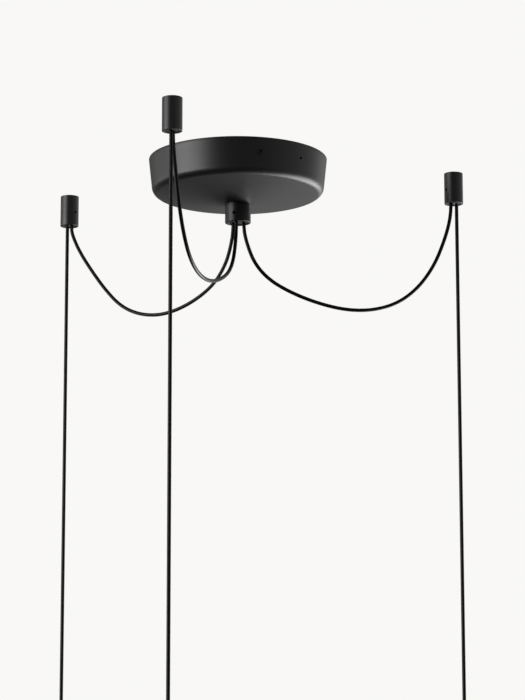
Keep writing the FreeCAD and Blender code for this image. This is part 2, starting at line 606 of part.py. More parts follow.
def terminal_screws():
    """Slotted grub screws, driven from below through the wall of each clamp."""
    head = BLOCK_FOOT + TERMINAL_SCREW_SUNK
    reach = 2 * TERMINAL_SCREW_RADIUS
    screws = []
    for station, across in terminal_screw_places():
        at = on_bracket(station, across, 0)
        screw = disc(TERMINAL_SCREW_RADIUS, head, -POLE_DROP - CLAMP_BORE_RADIUS, at.x, at.y)
        slot = Part.makeBox(2 * reach, TERMINAL_SCREW_SLOT, 2 * TERMINAL_SCREW_SLOT,
                            Vector(at.x - reach, at.y - TERMINAL_SCREW_SLOT / 2,
                                   head - TERMINAL_SCREW_SLOT))
        screws.append(screw.cut(slot))
    return Part.makeCompound(screws)


def core_route(name, k):
    """One core: up out of its cord, over in its own layer, then straight into its clamp."""
    _, azimuth = ANCHORS[name]
    middle = (POLE_COUNT - 1) // 2
    seat = (radial(azimuth) * CORD_CIRCLE
            + radial(BRACKET_AZIMUTH + 120 * (k - middle)) * CORE_BUNDLE_RADIUS)
    spot = math.radians(CORE_SEAT[name])
    across = pole_across(k) + CORE_BUNDLE_RADIUS * math.cos(spot)
    height = -POLE_DROP + CORE_BUNDLE_RADIUS * math.sin(spot)
    layer = CORE_LAYERS[name] - (CORE_MIDDLE_DIP if k == middle else 0)
    return [seat + UP * SHEATH_END, seat + UP * layer,
            on_bracket(BLOCK_NEAR_FACE - CORE_GATHER, across, height),
            on_bracket(BLOCK_NEAR_FACE + CORE_ENTRY, across, height)]


def cores(k, label):
    """The cores of one colour, one from each cord."""
    return Part.makeCompound([round_tube(core_route(name, k), CORE_RADIUS, f"{label} {name}")
                              for name in ANCHORS])


def earth_lead():
    """Core from the earth pole's far side, up and round to the screw in the bar."""
    pole = pole_across(POLE_COUNT - 1)
    far = BLOCK_NEAR_FACE + BLOCK_LENGTH
    head_side = EARTH_SCREW_ACROSS + EARTH_HEAD_RADIUS + TOUCH_GAP
    height = -BRACKET_THICKNESS - EARTH_HEAD_HEIGHT / 2
    points = [on_bracket(far - CORE_ENTRY, pole, -POLE_DROP),
              on_bracket(far + 2 * CORE_RADIUS + 2, pole, -POLE_DROP),
              on_bracket(EARTH_SCREW_ALONG - 1, pole + 1.5, -POLE_DROP + 3),
              on_bracket(EARTH_SCREW_ALONG, pole - 0.5, height - 0.5),
              on_bracket(EARTH_SCREW_ALONG, head_side, height)]
    return round_tube(points, CORE_RADIUS, "earth lead")


# ------------------------------------------------------------------ ceiling anchors
def anchor_centre(name):
    distance, azimuth = ANCHORS[name]
    return radial(azimuth) * distance


def anchor_base(name):
    """Cup screwed to the ceiling, with a groove for the set screw and holes for the peg."""
    at = anchor_centre(name)
    outer = ANCHOR_RADIUS - ANCHOR_WALL - FIT_CLEARANCE
    inner = outer - ANCHOR_BASE_WALL
    groove = outer - SET_SCREW_BITE
    half = SET_SCREW_RADIUS + RUN_CLEARANCE
    base = turned([(ANCHOR_FIXING_HOLE / 2, 0), (outer, 0), (outer, -ANCHOR_SCREW_DROP + half),
                   (groove, -ANCHOR_SCREW_DROP + half), (groove, -ANCHOR_SCREW_DROP - half),
                   (outer, -ANCHOR_SCREW_DROP - half), (outer, -ANCHOR_BASE_HEIGHT),
                   (inner, -ANCHOR_BASE_HEIGHT), (inner, -ANCHOR_BASE_FLOOR),
                   (ANCHOR_FIXING_HOLE / 2, -ANCHOR_BASE_FLOOR)], at.x, at.y)
    return base.cut(peg_bar(name, PEG_RADIUS + FIT_CLEARANCE / 2, 2 * ANCHOR_RADIUS))


def peg_bar(name, radius, length):
    """Cross bar at the peg's place, square to the plane of the cord."""
    across = radial(ANCHORS[name][1] + 90)
    start = anchor_centre(name) - UP * PEG_DROP - across * (length / 2)
    return Part.makeCylinder(radius, length, start, across)


def anchor_peg(name):
    base_outer = ANCHOR_RADIUS - ANCHOR_WALL - FIT_CLEARANCE
    return peg_bar(name, PEG_RADIUS, 2 * (base_outer - PEG_END_PLAY))


def anchor_sleeve(name):
    """Turned cover with an inward lip below and a tapped hole in its side."""
    at = anchor_centre(name)
    inner = ANCHOR_RADIUS - ANCHOR_WALL
    mouth = inner - ANCHOR_LIP_WIDTH
    sleeve = turned([(inner, 0), (ANCHOR_RADIUS, 0),
                     (ANCHOR_RADIUS, -ANCHOR_HEIGHT + ANCHOR_CHAMFER),
                     (ANCHOR_RADIUS - ANCHOR_CHAMFER, -ANCHOR_HEIGHT), (mouth, -ANCHOR_HEIGHT),
                     (mouth, GUIDE_BOTTOM), (inner, GUIDE_BOTTOM)], at.x, at.y)
    out = radial(ANCHOR_SCREW_AZIMUTH[name])
    hole = Part.makeCylinder(SET_SCREW_RADIUS + FIT_CLEARANCE, ANCHOR_RADIUS,
                             at - UP * ANCHOR_SCREW_DROP + out * (inner / 2), out)
    return sleeve.cut(hole)


def anchor_guide(name):
    """Disc on the sleeve's lip with a hole for the cord in and one for the cord out."""
    at = anchor_centre(name)
    rim = ANCHOR_RADIUS - ANCHOR_WALL - FIT_CLEARANCE
    top = GUIDE_BOTTOM + ANCHOR_GUIDE_THICKNESS
    guide = disc(rim, GUIDE_BOTTOM, top, at.x, at.y)
    for side in (-1, 1):
        spot = at + radial(ANCHORS[name][1]) * (side * CORD_HOLE_SPREAD / 2)
        guide = guide.cut(disc(CORD_HOLE_RADIUS, GUIDE_BOTTOM - CUT_OVER, top + CUT_OVER,
                               spot.x, spot.y))
    return guide


def anchor_screw(name):
    tip = ANCHOR_RADIUS - ANCHOR_WALL - FIT_CLEARANCE - SET_SCREW_BITE + TOUCH_GAP
    return set_screw(anchor_centre(name) - UP * ANCHOR_SCREW_DROP,
                     radial(ANCHOR_SCREW_AZIMUTH[name]), tip, ANCHOR_RADIUS - ANCHOR_SCREW_DEPTH)


# ------------------------------------------------------------------ cords
def swag_points(name):
    """From the stripped end in the canopy, down and along the swag, and over the peg."""
    distance, azimuth = ANCHORS[name]
    out = radial(azimuth)
    span = distance - CORD_HOLE_SPREAD / 2 - CORD_CIRCLE
    stretch = span / SWAG_SPANS[name]
    lift = (GUIDE_BOTTOM - SWAG_MOUTH) / SWAG_SPANS[name]
    points = [out * CORD_CIRCLE + UP * SHEATH_END]
    points += [out * (CORD_CIRCLE + reach * stretch) + UP * (height + reach * lift)
               for reach, height in SWAG_ROUTES[name]]
    near = out * (distance - CORD_HOLE_SPREAD / 2)
    far = out * (distance + CORD_HOLE_SPREAD / 2)
    crown = -PEG_DROP + CORD_HOLE_SPREAD / 2
    points += [near + UP * (GUIDE_BOTTOM - ANCHOR_LEAD_IN), near + UP * crown, far + UP * crown,
               far + UP * GUIDE_BOTTOM]
    return points


def swag_cord(name):
    points = swag_points(name)
    over_peg = {len(points) - 3: 0.5, len(points) - 2: 0.5}
    return round_tube(points, CORD_RADIUS, f"swag {name}", over_peg)


def drop_place(name):
    distance, azimuth = ANCHORS[name]
    return radial(azimuth) * (distance + CORD_HOLE_SPREAD / 2)


def neck_cord(name):
    """The short stretch under an anchor that bends as the lamp swings."""
    at = drop_place(name)
    neck = disc(CORD_RADIUS, PIVOT_LOW, PIVOT_TOP, at.x, at.y)
    for height in (PIVOT_LOW, PIVOT_TOP):
        neck = neck.fuse(Part.makeSphere(CORD_RADIUS, at + UP * height))
    return neck.removeSplitter()


def drop_cord(name):
    at = drop_place(name)
    return disc(CORD_RADIUS, HOLDER_INSERT_TOP, DROP_TOP, at.x, at.y)


# ------------------------------------------------------------------ lampholders
def cord_grip(name):
    """Nipple that holds the cord in the cap, tapered at its top."""
    at = drop_place(name)
    bore = CORD_HOLE_RADIUS
    foot = CAP_TOP - GRIP_SPIGOT_LENGTH
    inwards, downwards = GRIP_TAPER
    return turned([(bore, DROP_END), (GRIP_COLLAR_RADIUS - inwards, DROP_END),
                   (GRIP_COLLAR_RADIUS, DROP_END - downwards), (GRIP_COLLAR_RADIUS, CAP_TOP),
                   (GRIP_SPIGOT_RADIUS, CAP_TOP), (GRIP_SPIGOT_RADIUS, foot), (bore, foot)],
                  at.x, at.y)


def rounded_disc(radius, low, high, round_radius):
    """Upright cylinder with its top edge rounded."""
    solid = disc(radius, low, high)
    top_edge = [e for e in solid.Edges if abs(e.CenterOfMass.z - high) < 1e-6]
    return solid.makeFillet(round_radius, top_edge)


def holder_cap(name):
    """Spun metal cap over the body's skirt, with the cord grip in its top."""
    shell = rounded_disc(HOLDER_RADIUS, CAP_FOOT, CAP_TOP, HOLDER_CAP_SHOULDER)
    shell = shell.cut(rounded_disc(HOLDER_RADIUS - HOLDER_CAP_WALL, CAP_FOOT,
                                   CAP_TOP - HOLDER_CAP_WALL,
                                   HOLDER_CAP_SHOULDER - HOLDER_CAP_WALL))
    shell = shell.cut(disc(GRIP_SPIGOT_RADIUS + FIT_CLEARANCE,
                           CAP_TOP - HOLDER_CAP_WALL - CUT_OVER, CAP_TOP + CUT_OVER))
    shell.translate(drop_place(name))
    return shell


def holder_body(name):
    """Moulded body whose skirt stands in the cap and whose ledge holds the insert."""
    at = drop_place(name)
    skirt = HOLDER_RADIUS - HOLDER_CAP_WALL - FIT_CLEARANCE
    top = CAP_FOOT + HOLDER_SKIRT_LENGTH
    return turned([(HOLDER_BORE, top), (skirt, top), (skirt, CAP_FOOT), (HOLDER_RADIUS, CAP_FOOT),
                   (HOLDER_RADIUS, HOLDER_FOOT + HOLDER_CHAMFER),
                   (HOLDER_RADIUS - HOLDER_CHAMFER, HOLDER_FOOT),
                   (HOLDER_THROAT, HOLDER_FOOT), (HOLDER_THROAT, HOLDER_LEDGE_Z),
                   (HOLDER_BORE, HOLDER_LEDGE_Z)], at.x, at.y)


def holder_insert(name):
    """Ceramic block on the body's ledge, with a rim under it that the thread shell meets."""
    at = drop_place(name)
    outer = HOLDER_BORE - FIT_CLEARANCE
    rim_outer = HOLDER_THROAT - FIT_CLEARANCE
    rim_inner = LAMP_THREAD_RADIUS + LAMP_THREAD_WALL / 2
    return turned([(0, HOLDER_INSERT_TOP), (outer, HOLDER_INSERT_TOP), (outer, HOLDER_LEDGE_Z),
                   (rim_outer, HOLDER_LEDGE_Z), (rim_outer, THREAD_TOP),
                   (rim_inner, THREAD_TOP), (rim_inner, HOLDER_LEDGE_Z), (0, HOLDER_LEDGE_Z)],
                  at.x, at.y)


def holder_contacts(name):
    """Thread shell and centre tongue that the lamp touches."""
    at = drop_place(name)
    thread = tube(LAMP_THREAD_RADIUS + LAMP_THREAD_WALL, LAMP_THREAD_RADIUS,
                  THREAD_TOP - LAMP_THREAD_LENGTH, THREAD_TOP, at.x, at.y)
    tongue = disc(CONTACT_RADIUS, HOLDER_LEDGE_Z - CONTACT_HEIGHT, HOLDER_LEDGE_Z, at.x, at.y)
    return Part.makeCompound([thread, tongue])


def shade_ring(name):
    """Flanged ring round the body."""
    at = drop_place(name)
    bore = HOLDER_RADIUS + FIT_CLEARANCE
    outer = RING_OUTER_RADIUS
    top = CAP_FOOT - RING_DROP
    step = top - RING_FLANGE_HEIGHT
    foot = top - RING_HEIGHT
    return turned([(bore, top), (outer - RING_CHAMFER, top), (outer, top - RING_CHAMFER),
                   (outer, step), (bore + RING_WALL, step), (bore + RING_WALL, foot),
                   (bore, foot)], at.x, at.y)


# ------------------------------------------------------------------ files
def save(node, shape):
    solids = shape.Solids
    if not shape.isValid() or not solids:
        raise ValueError(f"{node} is not a valid solid")
    shape.exportStep(f"parts/{node}.step")
    box = shape.BoundBox
    print(f"{node}: {len(solids)} solid, z {box.ZMin:.1f} to {box.ZMax:.1f}")


def main():
    os.makedirs("parts", exist_ok=True)
    save("canopy_shell", canopy_shell())
    save("outlet_boss", outlet_boss())
    save("outlet_insert", outlet_insert())
    save("outlet_set_screw", outlet_set_screw())
    save("outlet_screws", outlet_screws())
    save("cord_stops", cord_stops())
    save("ceiling_bracket", ceiling_bracket())
    save("bracket_screws", bracket_screws())
    save("side_screw_near", side_screw(1))
    save("side_screw_far", side_screw(-1))
    save("side_nuts", side_nuts())
    save("terminal_block", terminal_block())
    save("terminal_clamps", terminal_clamps())
    save("terminal_screws", terminal_screws())
    save("live_cores", cores(0, "live core"))
    save("neutral_cores", cores(1, "neutral core"))
    save("earth_cores", cores(2, "earth core"))
    save("earth_lead", earth_lead())
    for name in ANCHORS:
        save(f"anchor_base_{name}", anchor_base(name))
        save(f"anchor_peg_{name}", anchor_peg(name))
        save(f"anchor_sleeve_{name}", anchor_sleeve(name))
        save(f"anchor_guide_{name}", anchor_guide(name))
        save(f"anchor_screw_{name}", anchor_screw(name))
        save(f"swag_cord_{name}", swag_cord(name))
        save(f"neck_cord_{name}", neck_cord(name))
        save(f"drop_cord_{name}", drop_cord(name))
        save(f"cord_grip_{name}", cord_grip(name))
        save(f"holder_cap_{name}", holder_cap(name))
        save(f"holder_body_{name}", holder_body(name))
        save(f"holder_insert_{name}", holder_insert(name))
        save(f"holder_contacts_{name}", holder_contacts(name))
        save(f"shade_ring_{name}", shade_ring(name))


main()
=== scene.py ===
import math
import bmesh
import bpy
import numpy as np
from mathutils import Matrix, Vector


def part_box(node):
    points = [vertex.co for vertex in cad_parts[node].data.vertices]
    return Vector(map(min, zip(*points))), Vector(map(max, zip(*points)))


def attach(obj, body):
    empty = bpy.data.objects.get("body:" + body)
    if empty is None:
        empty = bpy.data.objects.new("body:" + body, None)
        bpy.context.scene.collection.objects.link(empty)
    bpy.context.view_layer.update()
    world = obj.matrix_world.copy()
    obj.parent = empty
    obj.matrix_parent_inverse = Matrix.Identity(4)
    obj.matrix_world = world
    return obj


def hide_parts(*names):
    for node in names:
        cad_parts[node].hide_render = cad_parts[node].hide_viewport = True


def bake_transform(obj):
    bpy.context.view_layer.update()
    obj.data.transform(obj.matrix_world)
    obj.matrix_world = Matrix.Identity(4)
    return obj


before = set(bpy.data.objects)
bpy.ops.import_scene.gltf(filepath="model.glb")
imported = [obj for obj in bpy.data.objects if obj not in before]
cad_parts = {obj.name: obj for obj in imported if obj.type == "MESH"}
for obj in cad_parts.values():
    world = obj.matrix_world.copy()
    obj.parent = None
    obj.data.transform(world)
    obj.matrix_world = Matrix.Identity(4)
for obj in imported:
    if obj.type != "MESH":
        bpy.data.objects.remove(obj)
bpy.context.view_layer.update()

# ---------------- the camera
# The photograph looks up at the lamp from about 3.7 m away and a metre below the ceiling,
# with a long lens, so that the canopy shows its wall and a little of its underside.  LOOK_UP
# and LEAN are in degrees.
LOOK_UP, LEAN = 11.33, 0.07
camera_data = bpy.data.cameras.new("camera")
camera_data.lens = 139.4
camera_data.sensor_width = 36.0
camera_data.clip_start = 0.1
camera_data.clip_end = 60.0
camera = bpy.data.objects.new("camera", camera_data)
camera.location = (0.0333, -3.6823, -1.0098)
camera.rotation_euler = (math.radians(90 + LOOK_UP), math.radians(LEAN), 0.0)
bpy.context.collection.objects.link(camera)
bpy.context.scene.camera = camera
bpy.context.scene.view_settings.view_transform = "Standard"

# ---------------- the studio
# A plain pale room: an almost white backdrop that polished faces see dimmer towards the camera
# and below, and soft boxes at the left, at the back corners and low down at the right, which
# draw the soft streaks on the black cylinders.
PALE = (0.945, 0.938, 0.925, 1.0)
ROOM_LIGHT = 0.30
BACK_GLOW, FRONT_GLOW, GROUND_GLOW, RIGHT_GLOW = 0.345, 0.15, 0.22, 0.24
LEFT_SHARE, RIGHT_SHARE = 0.7, 1.4
# Along each axis a direction runs from -1 to 1; each glow changes over one of these stretches.
FRONT_TO_BACK, BELOW_TO_LEVEL = (-0.3, 0.9), (-0.75, -0.05)
LEFT_TO_RIGHT, FAR_RIGHT = (-0.35, 0.35), (0.3, 1.05)
world = bpy.data.worlds.new("studio")
bpy.context.scene.world = world
world.use_nodes = True
sky_nodes, sky_links = world.node_tree.nodes, world.node_tree.links
sky_nodes.clear()
direction = sky_nodes.new("ShaderNodeTexCoord")
axes = sky_nodes.new("ShaderNodeSeparateXYZ")
sky_links.new(direction.outputs["Generated"], axes.inputs[0])


def ramp(source, start, stop, low, high):
    """A number that runs smoothly from low to high while the source runs from start to stop."""
    node = sky_nodes.new("ShaderNodeMapRange")
    node.interpolation_type = "SMOOTHSTEP"
    for label, value in (("From Min", start), ("From Max", stop), ("To Min", low),
                         ("To Max", high)):
        node.inputs[label].default_value = value
    sky_links.new(source, node.inputs["Value"])
    return node.outputs[0]


def combine(operation, first, second):
    """Two numbers put together by a maths node."""
    node = sky_nodes.new("ShaderNodeMath")
    node.operation = operation
    for socket, value in zip(node.inputs, (first, second)):
        if isinstance(value, float):
            socket.default_value = value
        else:
            sky_links.new(value, socket)
    return node.outputs[0]


rays = sky_nodes.new("ShaderNodeLightPath").outputs
depth = ramp(axes.outputs["Y"], *FRONT_TO_BACK, FRONT_GLOW, BACK_GLOW)
ground = ramp(axes.outputs["Z"], *BELOW_TO_LEVEL, GROUND_GLOW, 1.0)
sideways = ramp(axes.outputs["X"], *LEFT_TO_RIGHT, LEFT_SHARE, RIGHT_SHARE)
uneven = combine("MULTIPLY", depth, sideways)
rightwards = ramp(axes.outputs["X"], *FAR_RIGHT, 0.0, RIGHT_GLOW)
around = combine("MULTIPLY", combine("ADD", uneven, rightwards), ground)
mirrored = combine("MULTIPLY", around, rays["Is Glossy Ray"])
plain = combine("MULTIPLY", combine("SUBTRACT", 1.0, rays["Is Glossy Ray"]), ROOM_LIGHT)
seen = combine("MAXIMUM", rays["Is Camera Ray"], rays["Is Transmission Ray"])
glow = sky_nodes.new("ShaderNodeBackground")
glow.inputs["Color"].default_value = PALE
sky_links.new(combine("MAXIMUM", seen, combine("ADD", mirrored, plain)), glow.inputs["Strength"])
sky = sky_nodes.new("ShaderNodeOutputWorld")
sky_links.new(glow.outputs[0], sky.inputs["Surface"])


def soft_box(name, place, aim, width, height, watts):
    """A rectangular lamp at a place, turned to face a point."""
    lamp = bpy.data.lights.new(name, "AREA")
    lamp.shape = "RECTANGLE"
    lamp.size = width
    lamp.size_y = height
    lamp.energy = watts
    holder = bpy.data.objects.new(name, lamp)
    holder.location = place
    holder.rotation_euler = (Vector(aim) - Vector(place)).to_track_quat("-Z", "Y").to_euler()
    bpy.context.collection.objects.link(holder)


soft_box("box_left", (-2.74, -1.22, 0.0), (0, 0, -0.1), 2.4, 1.3, 73)
soft_box("box_back_left", (-2.8, 1.2, -0.1), (0, 0, -0.1), 2.2, 1.4, 13)
soft_box("box_back_right", (2.2, 2.1, -0.2), (0, 0, -0.1), 1.2, 1.6, 5)
soft_box("box_low_right", (1.50, 1.34, -1.62), (0, 0, -0.05), 2.0, 2.0, 104)

FLOOR_HEIGHT, FLOOR_REACH = -2.35, 6.0
corners = [(x * FLOOR_REACH, y * FLOOR_REACH, FLOOR_HEIGHT)
           for x, y in ((-1, -1), (1, -1), (1, 1), (-1, 1))]
floor_mesh = bpy.data.meshes.new("floor")
floor_mesh.from_pydata(corners, [], [(0, 1, 2, 3)])
floor = bpy.data.objects.new("floor", floor_mesh)
floor.visible_glossy = False
bpy.context.collection.objects.link(floor)


def floor_finish():
    """Pale matt plaster with a faint mottle; it lets light through from behind."""
    material = bpy.data.materials.new("pale_floor")
    material.use_nodes = True
    nodes, links = material.node_tree.nodes, material.node_tree.links
    shader = nodes["Principled BSDF"]
    shader.inputs["Roughness"].default_value = 0.9
    where = nodes.new("ShaderNodeTexCoord")
    mottle = nodes.new("ShaderNodeTexNoise")
    mottle.inputs["Scale"].default_value = 1.6
    links.new(where.outputs["Object"], mottle.inputs["Vector"])
    tint = nodes.new("ShaderNodeValToRGB")
    tint.color_ramp.elements[0].color = (0.80, 0.79, 0.77, 1)
    tint.color_ramp.elements[1].color = (0.84, 0.83, 0.81, 1)
    links.new(mottle.outputs["Fac"], tint.inputs["Fac"])
    links.new(tint.outputs["Color"], shader.inputs["Base Color"])
    clear = nodes.new("ShaderNodeBsdfTransparent")
    side = nodes.new("ShaderNodeNewGeometry")
    both = nodes.new("ShaderNodeMixShader")
    links.new(side.outputs["Backfacing"], both.inputs["Fac"])
    links.new(shader.outputs[0], both.inputs[1])
    links.new(clear.outputs[0], both.inputs[2])
    links.new(both.outputs[0], nodes["Material Output"].inputs["Surface"])
    return material


floor_mesh.materials.append(floor_finish())

# ---------------- canopy shell
# A shallow cup drawn from one millimetre steel, with a slightly tapered wall, a rounded lower
# edge and an underside that falls gently to the outlet.  Powder coated satin black, two screw
# holes and two spare holes punched through its wall.
MM = 0.001


def round_points(radius, azimuth, height):
    """Points at a radius, an azimuth and a height: x = r cos a, y = r sin a."""
    radius, azimuth, height = np.broadcast_arrays(radius, azimuth, height)
    return np.stack([radius * np.cos(azimuth), radius * np.sin(azimuth), height], -1)


def turned(profile, count):
    """A profile of (radius, height) carried once round the upright axis in count steps."""
    radius, height = np.array(profile, float).T
    azimuth = 2 * np.pi * np.arange(count) / count
    return round_points(radius[:, None], azimuth[None, :], height[:, None])


def bend(centre, radius, start, stop, steps):
    """Points of an arc: centre plus radius times (cos t, sin t), t from start to stop degrees."""
    t = np.radians(np.linspace(start, stop, steps))
    return [(centre[0] + radius * c, centre[1] + radius * s) for c, s in zip(np.cos(t), np.sin(t))]


def grid_faces(rows, columns, first, keep):
    """Quads between neighbours of a grid whose last column meets its first; keep masks them."""
    i, j = np.meshgrid(np.arange(rows - 1), np.arange(columns), indexing="ij")
    if keep is not None:
        i, j = i[keep], j[keep]
    i, j = i.ravel(), j.ravel()
    k = (j + 1) % columns
    quads = np.stack([i * columns + j, i * columns + k, (i + 1) * columns + k,
                      (i + 1) * columns + j], -1)
    return quads + first


MERGE_WITHIN, SLIVER = 2e-6, 1e-7


def welded(name, patches, sharp=35.0, at=(0, 0, 0)):
    """One closed mesh of several grids: their meeting edges are merged and normals set outwards.

    A patch is a grid of points by row and column, or a pair of a grid and a mask of the
    cells that are there.  sharp is the angle from which an edge stays sharp, and at is
    where the mesh is moved to.
    """
    points, faces, first = [], [], 0
    for patch in patches:
        grid, keep = patch if isinstance(patch, tuple) else (patch, None)
        rows, columns = grid.shape[:2]
        points.append(grid.reshape(-1, 3))
        faces.append(grid_faces(rows, columns, first, keep))
        first += rows * columns
    mesh = bpy.data.meshes.new(name)
    placed = np.concatenate(points) + np.array(at)
    mesh.from_pydata(placed.tolist(), [], np.concatenate(faces).tolist())
    work = bmesh.new()
    work.from_mesh(mesh)
    bmesh.ops.remove_doubles(work, verts=work.verts, dist=MERGE_WITHIN)
    bmesh.ops.dissolve_degenerate(work, dist=SLIVER, edges=work.edges)
    bmesh.ops.recalc_face_normals(work, faces=work.faces)
    loose = [v for v in work.verts if not v.link_faces]
    bmesh.ops.delete(work, geom=loose, context="VERTS")
    work.to_mesh(mesh)
    work.free()
    mesh.shade_smooth()
    mesh.set_sharp_from_angle(angle=math.radians(sharp))
    piece = bpy.data.objects.new(name, mesh)
    bpy.context.collection.objects.link(piece)
    return piece


WINDOW, RAY_SHARES = 2.0, (1.0, 0.6, 0.3, 0.1)


def drilled_wall(outer, inner, heights, count, holes):
    """Outer and inner skins of a round wall with round holes through it.

    outer and inner give each skin's radius at a height, and a hole is (azimuth, height,
    radius, radius of its rounded lip).  Round every hole a window of cells is left out of
    both skins, and a ring grid runs from the window's edge to the hole, over its lip, through
    the wall and out to the window again: in the wall's own plane a point is the hole's circle
    plus a share of the way to the window's edge.
    """
    step = 2 * np.pi / count
    heights = np.array(heights, float)
    azimuth = step * np.arange(count)
    keep = np.ones((len(heights) - 1, count), bool)
    rings = []
    for hole_azimuth, hole_height, bore, lip in holes:
        reach = WINDOW * bore
        radius = outer(hole_height)
        above = np.max(np.nonzero(heights >= hole_height + reach))
        below = np.min(np.nonzero(heights <= hole_height - reach))
        left = math.floor((hole_azimuth - reach / radius) / step)
        right = math.ceil((hole_azimuth + reach / radius) / step)
        keep[above:below, np.arange(left, right) % count] = False
        columns, rows = np.arange(left, right), np.arange(above, below)
        loop_a = np.concatenate([columns, np.full(len(rows), right), columns[::-1] + 1,
                                 np.full(len(rows), left)]) * step
        loop_z = heights[np.concatenate([np.full(len(columns), above), rows,
                                         np.full(len(columns), below), rows[::-1] + 1])]
        u, v = (loop_a - hole_azimuth) * radius, loop_z - hole_height
        turn = np.arctan2(v, u)
        circles = [(outer, share, bore + lip, 0.0) for share in RAY_SHARES]
        circles += [(outer, 0.0, bore + lip * (1 - math.sin(t)), lip * (1 - math.cos(t)))
                    for t in np.linspace(0, np.pi / 2, 4)]
        circles += [(inner, share, bore, 0.0) for share in (0.0, 0.3, 0.6, 1.0)]
        ring = []
        for face, share, size, sunk in circles:
            a = hole_azimuth + ((1 - share) * size * np.cos(turn) + share * u) / radius
            z = hole_height + (1 - share) * size * np.sin(turn) + share * v
            ring.append(round_points(face(z) - sunk, a, z))
        rings.append(np.array(ring))
    skins = [(round_points(face(heights)[:, None], azimuth[None, :], heights[:, None]), keep)
             for face in (outer, inner)]
    return skins + rings


TONE_DRIFT, GLOSS_DRIFT = (0.87, 1.13), 0.04


def surface(name, tone, gloss, cloud, grain, relief_depth, metal=0.0, stretch=(1, 1, 1),
            shine=0.5):
    """A finish whose colour and gloss drift with a slow noise, over a fine grained relief.

    tone is the mean colour and gloss the mean roughness; cloud and grain are the two noises'
    scales per metre, and relief_depth is the grain's height in metres.  metal and shine say
    how metallic and how mirroring it is, and stretch packs the grain closer along each axis.
    """
    material = bpy.data.materials.new(name)
    material.use_nodes = True
    nodes, links = material.node_tree.nodes, material.node_tree.links
    shader = nodes["Principled BSDF"]
    shader.inputs["Metallic"].default_value = metal
    shader.inputs["Specular IOR Level"].default_value = shine
    where = nodes.new("ShaderNodeTexCoord")
    drift = nodes.new("ShaderNodeTexNoise")
    drift.inputs["Scale"].default_value = cloud
    drift.inputs["Detail"].default_value = 3.0
    links.new(where.outputs["Object"], drift.inputs["Vector"])
    colour = nodes.new("ShaderNodeValToRGB")
    for stop, place, share in zip(colour.color_ramp.elements, (0.3, 0.7), TONE_DRIFT):
        stop.position = place
        stop.color = tuple(min(1.0, c * share) for c in tone) + (1.0,)
    links.new(drift.outputs["Fac"], colour.inputs["Fac"])
    links.new(colour.outputs["Color"], shader.inputs["Base Color"])
    sheen = nodes.new("ShaderNodeMapRange")
    sheen.inputs["To Min"].default_value = gloss - GLOSS_DRIFT
    sheen.inputs["To Max"].default_value = gloss + GLOSS_DRIFT
    links.new(drift.outputs["Fac"], sheen.inputs["Value"])
    links.new(sheen.outputs[0], shader.inputs["Roughness"])
    drawn = nodes.new("ShaderNodeMapping")
    drawn.inputs["Scale"].default_value = stretch
    links.new(where.outputs["Object"], drawn.inputs["Vector"])
    peel = nodes.new("ShaderNodeTexNoise")
    peel.inputs["Scale"].default_value = grain
    peel.inputs["Detail"].default_value = 2.0
    links.new(drawn.outputs["Vector"], peel.inputs["Vector"])
    relief = nodes.new("ShaderNodeBump")
    relief.inputs["Strength"].default_value = 0.25
    relief.inputs["Distance"].default_value = relief_depth
    links.new(peel.outputs["Fac"], relief.inputs["Height"])
    links.new(relief.outputs["Normal"], shader.inputs["Normal"])
    return material


BLACK_COAT = (0.0028, 0.0028, 0.0029)
RIM, WALL_FOOT, WALL_DEPTH = 125.0 * MM, 120.62 * MM, 40.9 * MM
EDGE, SHEET, FALL, FLAT = 10.5 * MM, 1.0 * MM, math.radians(8.6), 18.6 * MM
SCREW_AZIMUTH, SCREW_DROP, SPARE_TURN = math.radians(-75.3), 20.75 * MM, math.radians(30.6)
SCREW_HOLE, SPARE_HOLE = (2.3 * MM, 0.25 * MM), (1.9 * MM, 0.12 * MM)
BRIM, ROLL_DROP, ROLL = 0.5 * MM, 0.45 * MM, 0.42 * MM
THROAT, ROUNDS = 12.2 * MM, 240
slope = math.atan2(RIM - WALL_FOOT, WALL_DEPTH)
edge_centre = (WALL_FOOT - EDGE * math.cos(slope), -WALL_DEPTH + EDGE * math.sin(slope))


def outer_wall(z):
    """Outside radius of the wall at a height: the rim's plus the height times the slope."""
    return RIM + z * math.tan(slope)


def inner_wall(z):
    """Inside radius of the wall at a height: the outside less the sheet, measured level."""
    return outer_wall(z) - SHEET / math.cos(slope)


def span(node):
    """Heights of a CAD node's lower and upper end."""
    low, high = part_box(node)
    return low[2], high[2]


def straight_run(start, stop, steps):
    """Points at equal steps on the line from start to stop, both ends left out."""
    return [(start[0] + (stop[0] - start[0]) * t, start[1] + (stop[1] - start[1]) * t)
            for t in np.linspace(0, 1, steps)[1:-1]]


seat_z = span("outlet_boss")[1]
# The wall's rows lie close together beside the holes and wide apart above and below them.
heights = -np.concatenate([[BRIM], np.arange(4, 12.1, 4) * MM, np.arange(13.5, 28.1, 0.9) * MM,
                           [33 * MM, 37 * MM, WALL_DEPTH]])
punched = [(SCREW_AZIMUTH + k * math.pi, -SCREW_DROP, *SCREW_HOLE) for k in (0, 1)]
punched += [(SCREW_AZIMUTH + SPARE_TURN + k * math.pi, -SCREW_DROP, *SPARE_HOLE) for k in (0, 1)]
rim_roll = [(inner_wall(-BRIM), -BRIM)]
rim_roll += bend((RIM - SHEET * 0.5, -ROLL_DROP), ROLL, 165, 15, 7)
rim_roll += [(outer_wall(-BRIM), -BRIM)]
slope_degrees, fall_degrees = math.degrees(slope), math.degrees(FALL)
under = bend(edge_centre, EDGE, -slope_degrees, -90 + fall_degrees, 14)
inside = bend(edge_centre, EDGE - SHEET, -90 + fall_degrees, -slope_degrees, 14)[:-1]
inside += [(inner_wall(-WALL_DEPTH), -WALL_DEPTH)]
